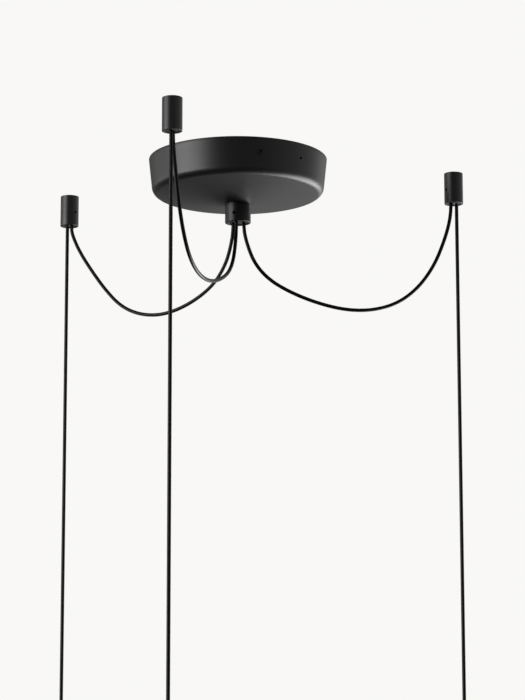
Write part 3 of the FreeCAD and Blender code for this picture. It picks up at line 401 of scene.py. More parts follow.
under += straight_run(under[-1], (FLAT, seat_z), 22)
under += [(FLAT, seat_z), (THROAT, seat_z), (THROAT, seat_z + SHEET), (FLAT, seat_z + SHEET)]
under += straight_run(under[-1], inside[0], 22) + inside
canopy = welded("canopy", drilled_wall(outer_wall, inner_wall, heights, ROUNDS, punched)
                + [turned(rim_roll, ROUNDS), turned(under, ROUNDS)])
canopy.data.materials.append(surface("canopy_coat", BLACK_COAT, 0.42, 22.0, 900.0, 0.03 * MM))
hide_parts("canopy_shell")
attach(canopy, "canopy")

# ---------------- painted shade in the spare holes
# Painted shade: the two spare holes are closed from inside by short blind sleeves, drawn as near
# black matt nylon and pressed in behind the sheet, that stand in for the shade inside the canopy;
# from below one sees only their dark hollow.
PLUG_R, PLUG_BORE, PLUG_DEPTH, PLUG_FLOOR = 2.8 * MM, 1.95 * MM, 6.0 * MM, 0.8 * MM
PLUG_CHAMFER, PLUG_GAP = 0.4 * MM, 0.3 * MM


def on_axis(grid, origin, axis):
    """A grid whose z axis is turned to a level axis and its x axis upwards, then moved."""
    level = np.cross(axis, (0, 0, 1))
    return (np.array(origin) + grid[..., 2:3] * np.array(axis)
            + grid[..., 0:1] * np.array((0, 0, 1)) + grid[..., 1:2] * level)


# Painted shade: near black and almost without shine, so that the holes read dark.
spare_hole_shade_finish = surface("spare_hole_painted_shade", (0.003, 0.003, 0.003), 0.75, 60.0, 1500.0, 0.04 * MM,
                    shine=0.05)
plug_outline = [(0, -PLUG_DEPTH), (PLUG_R - PLUG_CHAMFER, -PLUG_DEPTH),
                (PLUG_R, -PLUG_DEPTH + PLUG_CHAMFER), (PLUG_R, 0), (PLUG_BORE, 0),
                (PLUG_BORE, PLUG_FLOOR - PLUG_DEPTH), (0, PLUG_FLOOR - PLUG_DEPTH)]
for name, azimuth in (("near", SCREW_AZIMUTH + SPARE_TURN),
                      ("far", SCREW_AZIMUTH + SPARE_TURN + math.pi)):
    out = (math.cos(azimuth), math.sin(azimuth), 0.0)
    seat = [c * (inner_wall(-SCREW_DROP) - PLUG_GAP) for c in out]
    seat[2] = -SCREW_DROP
    plug = welded(f"spare_hole_shade_plug_{name}", [on_axis(turned(plug_outline, 32), seat, out)])
    plug.data.materials.append(spare_hole_shade_finish)
    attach(plug, "canopy")

# ---------------- side screws
# Two blackened pan head machine screws through the canopy's wall into the ears of the
# bracket: a rounded head with a hexagon socket, and a threaded shank that its nut holds.
HEAD_R, HEAD_HEIGHT, SHANK_R, SHANK = 3.5 * MM, 2.4 * MM, 2.0 * MM, 10.0 * MM
SOCKET_HALF, SOCKET_DEPTH, PITCH = 1.25 * MM, 1.4 * MM, 0.7 * MM
HEAD_SEAT, HEAD_EDGE, HEAD_ROUND = 123.2 * MM, 0.15 * MM, 1.1 * MM
THREAD_DEPTH, TIP_CHAMFER, NECK, SOCKET_RIM = 0.35 * MM, 0.4 * MM, 0.2 * MM, 1.35


def threaded(radius, groove, pitch, start, stop, steps, count):
    """Screw thread: radius less a groove times a wave of height over pitch less the turn.

    The wave is 0.5 - 0.5 cos, and fades out over the last pitch at both ends.
    """
    z = np.linspace(start, stop, steps)[:, None]
    turn = 2 * np.pi * np.arange(count)[None, :] / count
    wave = 0.5 - 0.5 * np.cos(2 * np.pi * (z - start) / pitch - turn)
    run_out = np.clip(np.minimum(abs(z - start), abs(stop - z)) / pitch, 0, 1)
    return round_points(radius - groove * wave * run_out, turn, z)


def hexagon_rows(half, heights, count):
    """Rings in the shape of a hexagon: radius = half flat / cos of the angle from each flat."""
    turn = 2 * np.pi * np.arange(count) / count
    from_flat = (turn + np.pi / 6) % (np.pi / 3) - np.pi / 6
    return round_points((half / np.cos(from_flat))[None, :], turn[None, :],
                        np.array(heights)[:, None])


SCREW_COUNT = 48
head = [(SHANK_R, 0), (HEAD_R - HEAD_EDGE, 0), (HEAD_R, HEAD_EDGE), (HEAD_R, HEAD_ROUND)]
head += bend((HEAD_R - HEAD_ROUND, 1.15 * MM), HEAD_ROUND, 5, 80, 8)
head += [(SOCKET_HALF * SOCKET_RIM, HEAD_HEIGHT - 0.02 * MM)]
tip = [(0, -SHANK), (SHANK_R - TIP_CHAMFER, -SHANK), (SHANK_R, -SHANK + TIP_CHAMFER)]
rings = [turned(tip, SCREW_COUNT),
         threaded(SHANK_R, THREAD_DEPTH, PITCH, -SHANK + TIP_CHAMFER, -NECK, 110, SCREW_COUNT),
         turned(head, SCREW_COUNT),
         hexagon_rows(SOCKET_HALF, [HEAD_HEIGHT - 0.05 * MM, HEAD_HEIGHT - SOCKET_DEPTH],
                      SCREW_COUNT),
         turned([(0, HEAD_HEIGHT - SOCKET_DEPTH - 0.2 * MM)], SCREW_COUNT)]
black_oxide = surface("black_oxide", (0.003, 0.003, 0.003), 0.5, 90.0, 2500.0, 0.02 * MM,
                      shine=0.22)
for name, azimuth in (("near", SCREW_AZIMUTH), ("far", SCREW_AZIMUTH + math.pi)):
    out = (math.cos(azimuth), math.sin(azimuth), 0.0)
    seat = (HEAD_SEAT * out[0], HEAD_SEAT * out[1], -SCREW_DROP)
    screw = welded(f"{name}_side_screw", [on_axis(np.concatenate(rings), seat, out)])
    screw.data.materials.append(black_oxide)
    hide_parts(f"side_screw_{name}")
    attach(screw, f"side_screw_{name}")

# ---------------- outlet under the canopy
# A short turned steel sleeve, coated like the canopy, with a tapped hole in its side for the
# set screw and a narrow inward lip that holds the cord plate.  Its coat is drawn darker than the
# canopy's: painted shade from the canopy above it.
OUTLET_R, OUTLET_WALL, OUTLET_PLATE = 18.0 * MM, 2.5 * MM, 4.0 * MM
OUTLET_FOOT, OUTLET_SHELF, OUTLET_LIP, OUTLET_ROUND = 1.6 * MM, 1.2 * MM, 1.3 * MM, 0.8 * MM
OUTLET_EDGE, OUTLET_COUNT = 0.4 * MM, 96
OUTLET_SCREW_AZIMUTH, OUTLET_SCREW_HEIGHT = math.radians(-106.0), 11.2 * MM
OUTLET_HOLE = (2.5 * MM, 0.12 * MM)
outlet_low, outlet_high = span("outlet_boss")
outlet_screw_z = outlet_low + OUTLET_SCREW_HEIGHT
outlet_bore = OUTLET_R - OUTLET_WALL
top_inside = outlet_high - OUTLET_PLATE


def lipped_foot(outer, bore, foot, shelf, width, rounding, join):
    """Profile of a sleeve's lower end: down the outside, round the edge and the lip, and up."""
    profile = [(outer, join)]
    profile += bend((outer - rounding, foot + rounding), rounding, 0, -90, 8)
    profile += bend((bore - width + rounding / 2, foot + rounding / 2), rounding / 2, -90, -180, 6)
    return profile + [(bore - width, shelf), (bore, shelf), (bore, join)]


def straight_wall(radius):
    """A wall whose radius is the same at every height."""
    return lambda z: radius + 0 * z


outlet_z = np.concatenate([[top_inside],
                           np.linspace(top_inside - 1.5 * MM, outlet_low + 2.4 * MM, 22),
                           [outlet_low + OUTLET_FOOT]])
outlet_top = [(outlet_bore, top_inside), (THROAT, top_inside), (THROAT, outlet_high),
              (OUTLET_R - OUTLET_EDGE, outlet_high)]
outlet_top += bend((OUTLET_R - OUTLET_EDGE, outlet_high - OUTLET_EDGE), OUTLET_EDGE, 75, 0, 5)
outlet_top += [(OUTLET_R, top_inside)]
outlet_foot = lipped_foot(OUTLET_R, outlet_bore, outlet_low, outlet_low + OUTLET_SHELF, OUTLET_LIP,
                          OUTLET_ROUND, outlet_z[-1])
outlet_sides = drilled_wall(straight_wall(OUTLET_R), straight_wall(outlet_bore), outlet_z,
                            OUTLET_COUNT, [(OUTLET_SCREW_AZIMUTH, outlet_screw_z, *OUTLET_HOLE)])
outlet = welded("outlet", outlet_sides + [turned(outlet_top, OUTLET_COUNT),
                                          turned(outlet_foot, OUTLET_COUNT)])
# Painted shade: a darker copy of the canopy's black coat, for the shade under the canopy.
outlet.data.materials.append(surface("outlet_painted_shade_coat", (0.0012, 0.0012, 0.0012), 0.36, 30.0, 1300.0,
                                     0.02 * MM, shine=0.36))
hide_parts("outlet_boss")
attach(outlet, "canopy")

# ---------------- cord plate of the outlet
# A moulded nylon plug held by the set screw; the three cords leave through its round edged
# holes, and its collar lines the hole in the steel above.
anchor_names = ("left", "front", "right")
anchor_place = {}
for name in anchor_names:
    low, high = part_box(f"anchor_sleeve_{name}")
    anchor_place[name] = Vector(((low[0] + high[0]) / 2, (low[1] + high[1]) / 2, 0))
CORD_R, CORD_CIRCLE = 2.55 * MM, 7.6 * MM
HOLE_R, HOLE_LIP = CORD_R + 0.15 * MM, 0.5 * MM
PLATE_CHAMFER, RIM_GAP, COLLAR_GAP, SHOULDER_GAP = 0.4 * MM, 0.1 * MM, 0.3 * MM, 0.15 * MM
TRACK_HALF, TRACK_DEPTH = 2.3 * MM, 0.8 * MM


def plate_face(radius, hole_azimuths, hole_circle, hole, lip, low, high, count):
    """A round plate between two heights with round holes, as one grid for each hole.

    The plate is shared out in pie slices, one to a hole.  Along each ray from a hole's centre
    to its slice's edge a point is the hole's circle plus a share of the rest; the grid runs
    from the slice's upper edge in to the hole, down its bore and out again underneath.
    """
    step = 2 * np.pi / count
    order = sorted((a % (2 * np.pi)) for a in hole_azimuths)
    middles = []
    for a, b in zip(order, order[1:] + [order[0] + 2 * np.pi]):
        middles.append(round((a + b) / 2 / step))
    grids = []
    spokes = np.linspace(0, 1, 9)[:-1] * radius
    for k, azimuth in enumerate(order):
        start = middles[k - 1] - (count if k == 0 else 0)
        stop = middles[k]
        arc = np.arange(start, stop + 1) * step
        edge = np.concatenate([
            np.stack([spokes * math.cos(arc[0]), spokes * math.sin(arc[0])], -1),
            np.stack([radius * np.cos(arc), radius * np.sin(arc)], -1),
            np.stack([spokes[:0:-1] * math.cos(arc[-1]), spokes[:0:-1] * math.sin(arc[-1])], -1)])
        centre = hole_circle * np.array([math.cos(azimuth), math.sin(azimuth)])
        ray = edge - centre
        ray = ray / np.linalg.norm(ray, axis=1, keepdims=True)
        rows = []
        for z, side in ((high, 1), (low, -1)):
            flat = [(share, hole + lip, z) for share in RAY_SHARES]
            over = [(0.0, hole + lip * (1 - math.sin(t)), z - side * lip * (1 - math.cos(t)))
                    for t in np.linspace(0, np.pi / 2, 5)]
            part = [np.column_stack([(1 - s) * (centre + ray * r) + s * edge,
                                     np.full(len(edge), h)]) for s, r, h in flat + over]
            rows += part if side == 1 else part[::-1]
        grids.append(np.array(rows))
    return grids


plate_low, plate_high = span("outlet_insert")
azimuths = [math.atan2(p.y, p.x) for p in anchor_place.values()]
plate_rim, collar = outlet_bore - RIM_GAP, THROAT - COLLAR_GAP
shoulder = top_inside - SHOULDER_GAP
track_top, track_foot = outlet_screw_z + TRACK_HALF, outlet_screw_z - TRACK_HALF
plate_ends = plate_face(collar, azimuths, CORD_CIRCLE, HOLE_R, HOLE_LIP, plate_low, plate_high,
                        OUTLET_COUNT)
plate_side = [(collar, plate_high), (collar, shoulder), (plate_rim - PLATE_CHAMFER, shoulder),
              (plate_rim, shoulder - PLATE_CHAMFER), (plate_rim, track_top),
              (plate_rim - TRACK_DEPTH, track_top), (plate_rim - TRACK_DEPTH, track_foot),
              (plate_rim, track_foot), (plate_rim, plate_low), (collar, plate_low)]
cord_plate = welded("cord_plate", plate_ends + [turned(plate_side, OUTLET_COUNT)])
nylon = surface("black_nylon", (0.011, 0.011, 0.0115), 0.40, 60.0, 1500.0, 0.03 * MM)
cord_plate.data.materials.append(nylon)
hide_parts("outlet_insert")
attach(cord_plate, "canopy")

# ---------------- ceiling anchors: sleeves
# Three turned steel covers, coated like the canopy, slid up over cups that are screwed to the
# ceiling; a set screw in the side of each holds it, and a lip below carries the cord guide.
SLEEVE_R, SLEEVE_WALL, SLEEVE_EDGE, SLEEVE_COUNT = 13.35 * MM, 2.0 * MM, 0.3 * MM, 96
SLEEVE_SHELF, SLEEVE_LIP, SLEEVE_ROUND = 1.0 * MM, 1.2 * MM, 0.55 * MM
SLEEVE_HOLE, SLEEVE_SCREW_DROP = (2.1 * MM, 0.12 * MM), 25.0 * MM
SLEEVE_SCREW_AZIMUTH = {"left": -47.0, "front": 74.9, "right": -147.0}
sleeve_foot, sleeve_bore = span("anchor_sleeve_left")[0], SLEEVE_R - SLEEVE_WALL
sleeve_z = -np.concatenate([np.array([0.5, 5, 10, 15]), np.arange(18, 32.5, 0.8),
                            np.array([36, 40, 43.2])]) * MM
brim = [(sleeve_bore, sleeve_z[0]), (sleeve_bore, 0)]
brim += bend((SLEEVE_R - SLEEVE_EDGE, -SLEEVE_EDGE), SLEEVE_EDGE, 90, 0, 5)
brim += [(SLEEVE_R, sleeve_z[0])]
sleeve_lip = lipped_foot(SLEEVE_R, sleeve_bore, sleeve_foot, sleeve_foot + SLEEVE_SHELF, SLEEVE_LIP,
                         SLEEVE_ROUND, sleeve_z[-1])
sleeve_coat = surface("anchor_coat", BLACK_COAT, 0.40, 30.0, 1300.0, 0.02 * MM, shine=0.62)
for name in anchor_names:
    hole = (math.radians(SLEEVE_SCREW_AZIMUTH[name]), -SLEEVE_SCREW_DROP, *SLEEVE_HOLE)
    grids = drilled_wall(straight_wall(SLEEVE_R), straight_wall(sleeve_bore), sleeve_z,
                         SLEEVE_COUNT, [hole])
    grids += [turned(brim, SLEEVE_COUNT), turned(sleeve_lip, SLEEVE_COUNT)]
    sleeve = welded(f"{name}_anchor_sleeve", grids, at=anchor_place[name])
    sleeve.data.materials.append(sleeve_coat)
    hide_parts(f"anchor_sleeve_{name}")
    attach(sleeve, "ceiling")

# ---------------- ceiling anchors: cord guides
# A coated disc lies on each sleeve's lip, with one round edged hole for the cord that comes up
# and one for the cord that goes down again.
SPREAD = 8.0 * MM
GUIDE_R, GUIDE_COUNT = 11.25 * MM, 96
guide_low, guide_high = span("anchor_guide_left")
guide_coat = surface("guide_coat", (0.009, 0.009, 0.0095), 0.40, 40.0, 1300.0, 0.05 * MM)
for name in anchor_names:
    place = anchor_place[name]
    azimuth = math.atan2(place.y, place.x)
    grids = plate_face(GUIDE_R, [azimuth, azimuth + math.pi], SPREAD / 2, HOLE_R, HOLE_LIP,
                       guide_low, guide_high, GUIDE_COUNT)
    grids += [turned([(GUIDE_R, guide_high), (GUIDE_R, guide_low)], GUIDE_COUNT)]
    guide = welded(f"{name}_anchor_guide", grids, at=place)
    guide.data.materials.append(guide_coat)
    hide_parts(f"anchor_guide_{name}")
    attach(guide, "ceiling")

# ---------------- swagged cords
# Round flexible cord with a smooth black sheath.  Each comes out of the outlet, hangs in its
# own loose curve and goes up into an anchor, where it turns over a peg and comes down again.
# A route's points are the reach from the cord's hole towards its anchor and the height.
SWAG_ROUTES = {
    "left": [(0.0, -0.046), (0.0, -0.096), (0.005, -0.122), (0.015, -0.148), (0.036, -0.1728),
             (0.068, -0.1895), (0.104, -0.2000), (0.140, -0.2030), (0.178, -0.1959),
             (0.212, -0.1795), (0.242, -0.1515), (0.270, -0.1185), (0.294, -0.087),
             (0.3095, -0.059)],
    "front": [(0.0, -0.046), (0.0, -0.096), (0.004, -0.120), (0.015, -0.149), (0.037, -0.171),
              (0.070, -0.1870), (0.108, -0.1997), (0.150, -0.2072), (0.192, -0.2057),
              (0.228, -0.1932), (0.256, -0.167), (0.276, -0.134), (0.290, -0.099),
              (0.302, -0.066)],
    "right": [(0.0, -0.046), (0.0, -0.095), (0.005, -0.119), (0.016, -0.147), (0.036, -0.169),
              (0.066, -0.1855), (0.104, -0.199), (0.146, -0.2075), (0.186, -0.2065),
              (0.224, -0.1945), (0.255, -0.170), (0.279, -0.136), (0.294, -0.100),
              (0.303, -0.070)],
}
PEG_DROP, CORD_LEAD, CORD_SHARP = 18.0 * MM, 2 * MM, 60


def cord_line(route, name, steps=14):
    """Points along a smooth line whose control points are the route's points."""
    curve = bpy.data.curves.new(name, "CURVE")
    curve.dimensions = "3D"
    curve.resolution_u = steps
    spline = curve.splines.new("NURBS")
    spline.points.add(len(route) - 1)
    spline.points.foreach_set("co", np.column_stack([np.array(route), np.ones(len(route))]).ravel())
    spline.order_u = 3
    spline.use_endpoint_u = True
    holder = bpy.data.objects.new(name, curve)
    bpy.context.collection.objects.link(holder)
    bpy.context.view_layer.update()
    line = bpy.data.meshes.new_from_object(holder.evaluated_get(
        bpy.context.evaluated_depsgraph_get()))
    points = np.array([v.co for v in line.vertices])
    bpy.data.objects.remove(holder)
    bpy.data.curves.remove(curve)
    bpy.data.meshes.remove(line)
    return points


def tube_grid(points, radius, side, around=24, soften=0.35):
    """Round tube along points: centre + r (cos t N + sin t B), its ends closed and rounded.

    N is the side vector made square to the path, and B is the path's direction crossed
    with N; side is any direction that the path never takes.  soften is the rounding of the
    ends as a share of the radius.
    """
    ahead = np.gradient(points, axis=0)
    ahead /= np.linalg.norm(ahead, axis=1, keepdims=True)
    across = side - (ahead @ side)[:, None] * ahead
    across /= np.linalg.norm(across, axis=1, keepdims=True)
    up = np.cross(ahead, across)
    turn = np.linspace(0, np.pi / 2, 5)
    rounding = radius * soften
    far = ((np.linalg.norm(points - points[0], axis=1) > rounding)
           & (np.linalg.norm(points - points[-1], axis=1) > rounding))
    pick = np.concatenate([np.zeros(6, int), np.nonzero(far)[0], np.full(6, len(points) - 1)])
    inwards = rounding * (1 - np.cos(turn))
    end_radii = radius - rounding * (1 - np.sin(turn))
    shift = np.concatenate([[0], inwards, np.zeros(far.sum()), -inwards[::-1], [0]])
    radii = np.concatenate([[0], end_radii, np.full(far.sum(), radius), end_radii[::-1], [0]])
    centres = points[pick] + shift[:, None] * ahead[pick]
    t = 2 * np.pi * np.arange(around) / around
    return (centres[:, None] + radii[:, None, None]
            * (np.cos(t)[None, :, None] * across[pick][:, None]
               + np.sin(t)[None, :, None] * up[pick][:, None]))


sheath = surface("cord_sheath", (0.001, 0.001, 0.001), 0.34, 35.0, 260.0,
                 0.015 * MM, shine=0.19)
for name in anchor_names:
    place = anchor_place[name]
    out = place.normalized()
    route = [out * (CORD_CIRCLE + reach) + Vector((0, 0, height))
             for reach, height in SWAG_ROUTES[name]]
    near, far = place - out * (SPREAD / 2), place + out * (SPREAD / 2)
    crown = -PEG_DROP + SPREAD / 2
    route += [near + Vector((0, 0, height))
              for height in (guide_low - CORD_LEAD, crown - SPREAD, crown)]
    route += [far + Vector((0, 0, height)) for height in (crown, crown - SPREAD, guide_low)]
    line = cord_line([tuple(p) for p in route], f"swag_line_{name}")
    plane = np.array(out.cross(Vector((0, 0, 1))))
    swag = welded(f"swag_{name}", [tube_grid(line, CORD_R, plane)], CORD_SHARP)
    swag.data.materials.append(sheath)
    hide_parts(f"swag_cord_{name}")
    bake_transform(swag)

# ---------------- drops under the anchors
# The same cord, pulled straight by its lampholder, from the anchor down to the cord grip.  Its
# line has points close under the anchor, at the two crossed pivots where the real cord would bend.
NECK_SWING, BEND_HALF, STRAIGHT_LEAD = 12.0 * MM, 5 * MM, 12 * CORD_R
CAD_CORD_R, END_ROUNDING = 2.4 * MM, 0.9
hang_place = {}
for name in anchor_names:
    place = anchor_place[name] + anchor_place[name].normalized() * (SPREAD / 2)
    hang_place[name] = np.array((place.x, place.y, 0.0))
    neck_foot, top = span(f"neck_cord_{name}")
    pivot, foot = neck_foot + CAD_CORD_R, span(f"drop_cord_{name}")[0]
    run = (top, pivot + NECK_SWING, pivot, pivot - STRAIGHT_LEAD, foot)
    line = cord_line([(place.x, place.y, z) for z in run], f"drop_line_{name}", 48)
    tube = tube_grid(line, CORD_R, np.array((1.0, 0, 0)), soften=END_ROUNDING)
    drop = welded(f"drop_{name}", [tube], CORD_SHARP)
    drop.data.materials.append(sheath)
    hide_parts(f"neck_cord_{name}", f"drop_cord_{name}")
    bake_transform(drop)

# ---------------- cores in the canopy
# Inside the canopy each cord is stripped to three insulated cores, brown, blue and green with
# yellow, which bend over in their own layer and end in the clamps of the terminal block.
CORE_R, CORE_BUNDLE = 0.951 * MM, 1.199 * MM
BAR_AZIMUTH, BLOCK_FACE, POLE_PITCH, POLE_DROP = math.radians(-75.3), 34.0, 12.0, 12.0
CORE_LAYERS = {"front": -27.0, "right": -21.5, "left": -14.5}
CORE_SEAT = {"front": math.radians(270), "right": math.radians(30), "left": math.radians(150)}
SHEATH_END, MIDDLE_DIP, CORE_RUN, CORE_INTO = -46.0, 2.2, 10.0, 2.5
core_tones = {"live": (0.16, 0.045, 0.015), "neutral": (0.02, 0.07, 0.42),
              "earth": (0.10, 0.30, 0.03)}


def on_bar(along, across, height):
    """The point so many millimetres along and across the bar and up, turned with it, in metres."""
    c, s = math.cos(BAR_AZIMUTH), math.sin(BAR_AZIMUTH)
    return (MM * (along * c - across * s), MM * (along * s + across * c), MM * height)


core_finish = {colour: surface(f"core_{colour}", tone, 0.30, 200.0, 700.0, 0.03 * MM)
               for colour, tone in core_tones.items()}
stripe_nodes = core_finish["earth"].node_tree
stripes = stripe_nodes.nodes.new("ShaderNodeTexWave")
stripes.inputs["Scale"].default_value = 90.0
where = stripe_nodes.nodes.new("ShaderNodeTexCoord")
stripe_nodes.links.new(where.outputs["Object"], stripes.inputs["Vector"])
banded = stripe_nodes.nodes.new("ShaderNodeValToRGB")
banded.color_ramp.elements[0].position = 0.45
banded.color_ramp.elements[0].color = core_tones["earth"] + (1.0,)
banded.color_ramp.elements[1].position = 0.55
banded.color_ramp.elements[1].color = (0.62, 0.52, 0.03, 1.0)
stripe_nodes.links.new(stripes.outputs["Color"], banded.inputs["Fac"])
stripe_nodes.links.new(banded.outputs["Color"],
                       stripe_nodes.nodes["Principled BSDF"].inputs["Base Color"])
for k, colour in enumerate(core_tones):
    for name in anchor_names:
        out = anchor_place[name].normalized()
        turn = BAR_AZIMUTH + math.radians(120 * (k - 1))
        seat = out * CORD_CIRCLE + Vector((math.cos(turn), math.sin(turn), 0)) * CORE_BUNDLE
        layer = CORE_LAYERS[name] - (MIDDLE_DIP if k == 1 else 0)
        across = (k - 1) * POLE_PITCH + CORE_BUNDLE / MM * math.cos(CORE_SEAT[name])
        height = -POLE_DROP + CORE_BUNDLE / MM * math.sin(CORE_SEAT[name])
        route = [(seat.x, seat.y, SHEATH_END * MM), (seat.x, seat.y, layer * MM),
                 on_bar(BLOCK_FACE - CORE_RUN, across, height),
                 on_bar(BLOCK_FACE + CORE_INTO, across, height)]
        line = cord_line(route, f"core_line_{colour}_{name}")
        side = np.array((math.cos(BAR_AZIMUTH + math.pi / 2), math.sin(BAR_AZIMUTH + math.pi / 2), 0))
        core = welded(f"core_{colour}_{name}", [tube_grid(line, CORE_R, side, 16)], CORD_SHARP)
        core.data.materials.append(core_finish[colour])
        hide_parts(f"{colour}_cores")
        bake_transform(core)

# ---------------- earth lead
# A short core in striped green and yellow insulation, from the far end of the earth clamp
# round to the earth screw in the bracket's bar.
lead_route = [on_bar(49.5, 12.0, -12.0), on_bar(55.9, 12.0, -12.0), on_bar(60.0, 13.5, -9.0),
              on_bar(61.0, 11.5, -3.8), on_bar(61.0, 8.05, -3.3)]
LEAD_SIDE = np.array((0.7, 0.3, -0.4))
line = cord_line(lead_route, "earth_lead_line")
lead = welded("earth_lead_core", [tube_grid(line, CORE_R, LEAD_SIDE, 16)], CORD_SHARP)
lead.data.materials.append(core_finish["earth"])
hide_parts("earth_lead")
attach(lead, "ceiling")

# ---------------- cord grips
# A black nylon nipple in the top of each lampholder, ribbed to be turned by hand, that clamps
# the cord; its spigot goes down through the cap.
GRIP_R, SPIGOT_R, GRIP_EDGE, HOLDER_COUNT = 7.0 * MM, 5.0 * MM, 0.4 * MM, 120
RIB, RIBS, RIB_ROWS, RIB_FOOT, RIB_TOP = 0.3 * MM, 20, 14, 1.0 * MM, 4.4 * MM
CROWN = ((0, 4.0), (1.7, 0.5), (2.1, 0))  # millimetres in from the side and down from the top
grip_low, grip_high = span("cord_grip_left")
cap_low, cap_high = span("holder_cap_left")
rib_z = np.linspace(cap_high + RIB_FOOT, grip_high - RIB_TOP, RIB_ROWS)[:, None]
turn = 2 * np.pi * np.arange(HOLDER_COUNT)[None, :] / HOLDER_COUNT
rise = np.sin(np.linspace(0, np.pi, RIB_ROWS))[:, None] ** 0.4
ribs = round_points(GRIP_R - RIB * rise * (0.5 + 0.5 * np.cos(RIBS * turn)), turn, rib_z)
lower = [(HOLE_R, grip_low), (SPIGOT_R - GRIP_EDGE, grip_low), (SPIGOT_R, grip_low + GRIP_EDGE),
         (SPIGOT_R, cap_high)]
lower += bend((GRIP_R - GRIP_EDGE, cap_high + GRIP_EDGE), GRIP_EDGE, -90, 0, 5)
upper = [(GRIP_R - inset * MM, grip_high - drop * MM) for inset, drop in CROWN]
upper += [(HOLE_R + GRIP_EDGE, grip_high), (HOLE_R, grip_high - GRIP_EDGE), (HOLE_R, grip_low)]
grip_grid = np.concatenate([turned(lower, HOLDER_COUNT), ribs, turned(upper, HOLDER_COUNT)])


def on_each_drop(kind, grids, finish, body="drop"):
    """The same piece on the end of every drop, in place of the CAD's and riding on its body."""
    for name in anchor_names:
        piece = welded(f"{name}_{kind}", grids, at=hang_place[name])
        piece.data.materials.append(finish)
        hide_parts(f"{kind}_{name}")
        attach(piece, f"{body}_{name}")


on_each_drop("cord_grip", [grip_grid], nylon)

# ---------------- lampholder caps
# A spun steel cap, coated like the canopy, with a wide rounded shoulder, a shallow rolled
# groove and a hemmed lower edge, pressed over the skirt of the moulded body.
CAP_R, CAP_WALL, SHOULDER, CAP_THROAT = 20.0 * MM, 1.2 * MM, 6.0 * MM, 5.1 * MM
GROOVE_DROP, GROOVE, GROOVE_HALF = 25.0 * MM, 0.35 * MM, 1.2 * MM
corner = (CAP_R - SHOULDER, cap_high - SHOULDER)
cap_outline = [(CAP_THROAT, cap_high)] + bend(corner, SHOULDER, 90, 0, 14)
cap_outline += [(CAP_R - GROOVE * s, cap_high - GROOVE_DROP + GROOVE_HALF * t)
                for t, s in ((1, 0), (0.6, 0.35), (0.25, 0.9), (-0.25, 0.9), (-0.6, 0.35), (-1, 0))]
cap_outline += bend((CAP_R - CAP_WALL / 2, cap_low + CAP_WALL / 2), CAP_WALL / 2, 0, -180, 9)
cap_outline += bend(corner, SHOULDER - CAP_WALL, 0, 90, 10)
cap_outline += [(CAP_THROAT, cap_high - CAP_WALL), (CAP_THROAT, cap_high)]
cap_coat = surface("cap_coat", BLACK_COAT, 0.40, 30.0, 1100.0, 0.02 * MM)
on_each_drop("holder_cap", [turned(cap_outline, HOLDER_COUNT)], cap_coat)

# ---------------- lampholder bodies
# A moulded black body below the cap: its skirt stands up inside the cap, its ledge holds the
# ceramic insert, and a coarse thread round it takes the shade ring.
SKIRT_R, BODY_BORE, BODY_THROAT = 18.7 * MM, 17.0 * MM, 15.4 * MM
BODY_PITCH, BODY_GROOVE, LEDGE_DROP = 3.0 * MM, 0.6 * MM, 12.0 * MM
BODY_EDGE, BODY_ROUND, BODY_LIP = 0.3 * MM, 0.9 * MM, 0.5 * MM
THREAD_DROP, THREAD_RISE = 4.0 * MM, 2.0 * MM
body_low, body_high = span("holder_body_left")
ledge = body_high - LEDGE_DROP
skirt = [(BODY_BORE, body_high), (SKIRT_R, body_high), (SKIRT_R, cap_low),
         (CAP_R - BODY_EDGE, cap_low), (CAP_R, cap_low - BODY_EDGE)]
body_foot = bend((CAP_R - BODY_ROUND, body_low + BODY_ROUND), BODY_ROUND, 0, -90, 7)
body_foot += bend((BODY_THROAT + BODY_LIP, body_low + BODY_LIP), BODY_LIP, -90, -180, 5)
body_foot += [(BODY_THROAT, ledge), (BODY_BORE, ledge), (BODY_BORE, body_high)]
body_grid = np.concatenate([
    turned(skirt, HOLDER_COUNT),
    threaded(CAP_R, BODY_GROOVE, BODY_PITCH, cap_low - THREAD_DROP, body_low + THREAD_RISE, 140,
             HOLDER_COUNT),
    turned(body_foot, HOLDER_COUNT)])
on_each_drop("holder_body", [body_grid], nylon)

# ---------------- lampholder inserts
# A glazed ceramic block on the body's ledge that carries the contacts; the rim under it
# centres the thread shell.
INSERT_R, RIM_R, RIM_BORE = 16.9 * MM, 15.3 * MM, 13.9 * MM
INSERT_ROUND, RIM_EDGE, RIM_LIP = 0.8 * MM, 0.3 * MM, 0.2 * MM
insert_low, insert_high = span("holder_insert_left")
insert_outline = [(0, insert_high)]
insert_outline += bend((INSERT_R - INSERT_ROUND, insert_high - INSERT_ROUND), INSERT_ROUND, 90, 0, 6)
insert_outline += [(INSERT_R, ledge), (RIM_R, ledge), (RIM_R, insert_low + RIM_EDGE),
                   (RIM_R - RIM_EDGE, insert_low), (RIM_BORE + RIM_LIP, insert_low),
                   (RIM_BORE, insert_low + RIM_LIP)]
insert_outline += bend((RIM_BORE - INSERT_ROUND, ledge - INSERT_ROUND), INSERT_ROUND, 0, 90, 6)
insert_outline += [(0, ledge)]
glaze = surface("glazed_ceramic", (0.78, 0.76, 0.71), 0.16, 45.0, 350.0, 0.05 * MM)
on_each_drop("holder_insert", [turned(insert_outline, HOLDER_COUNT)], glaze)

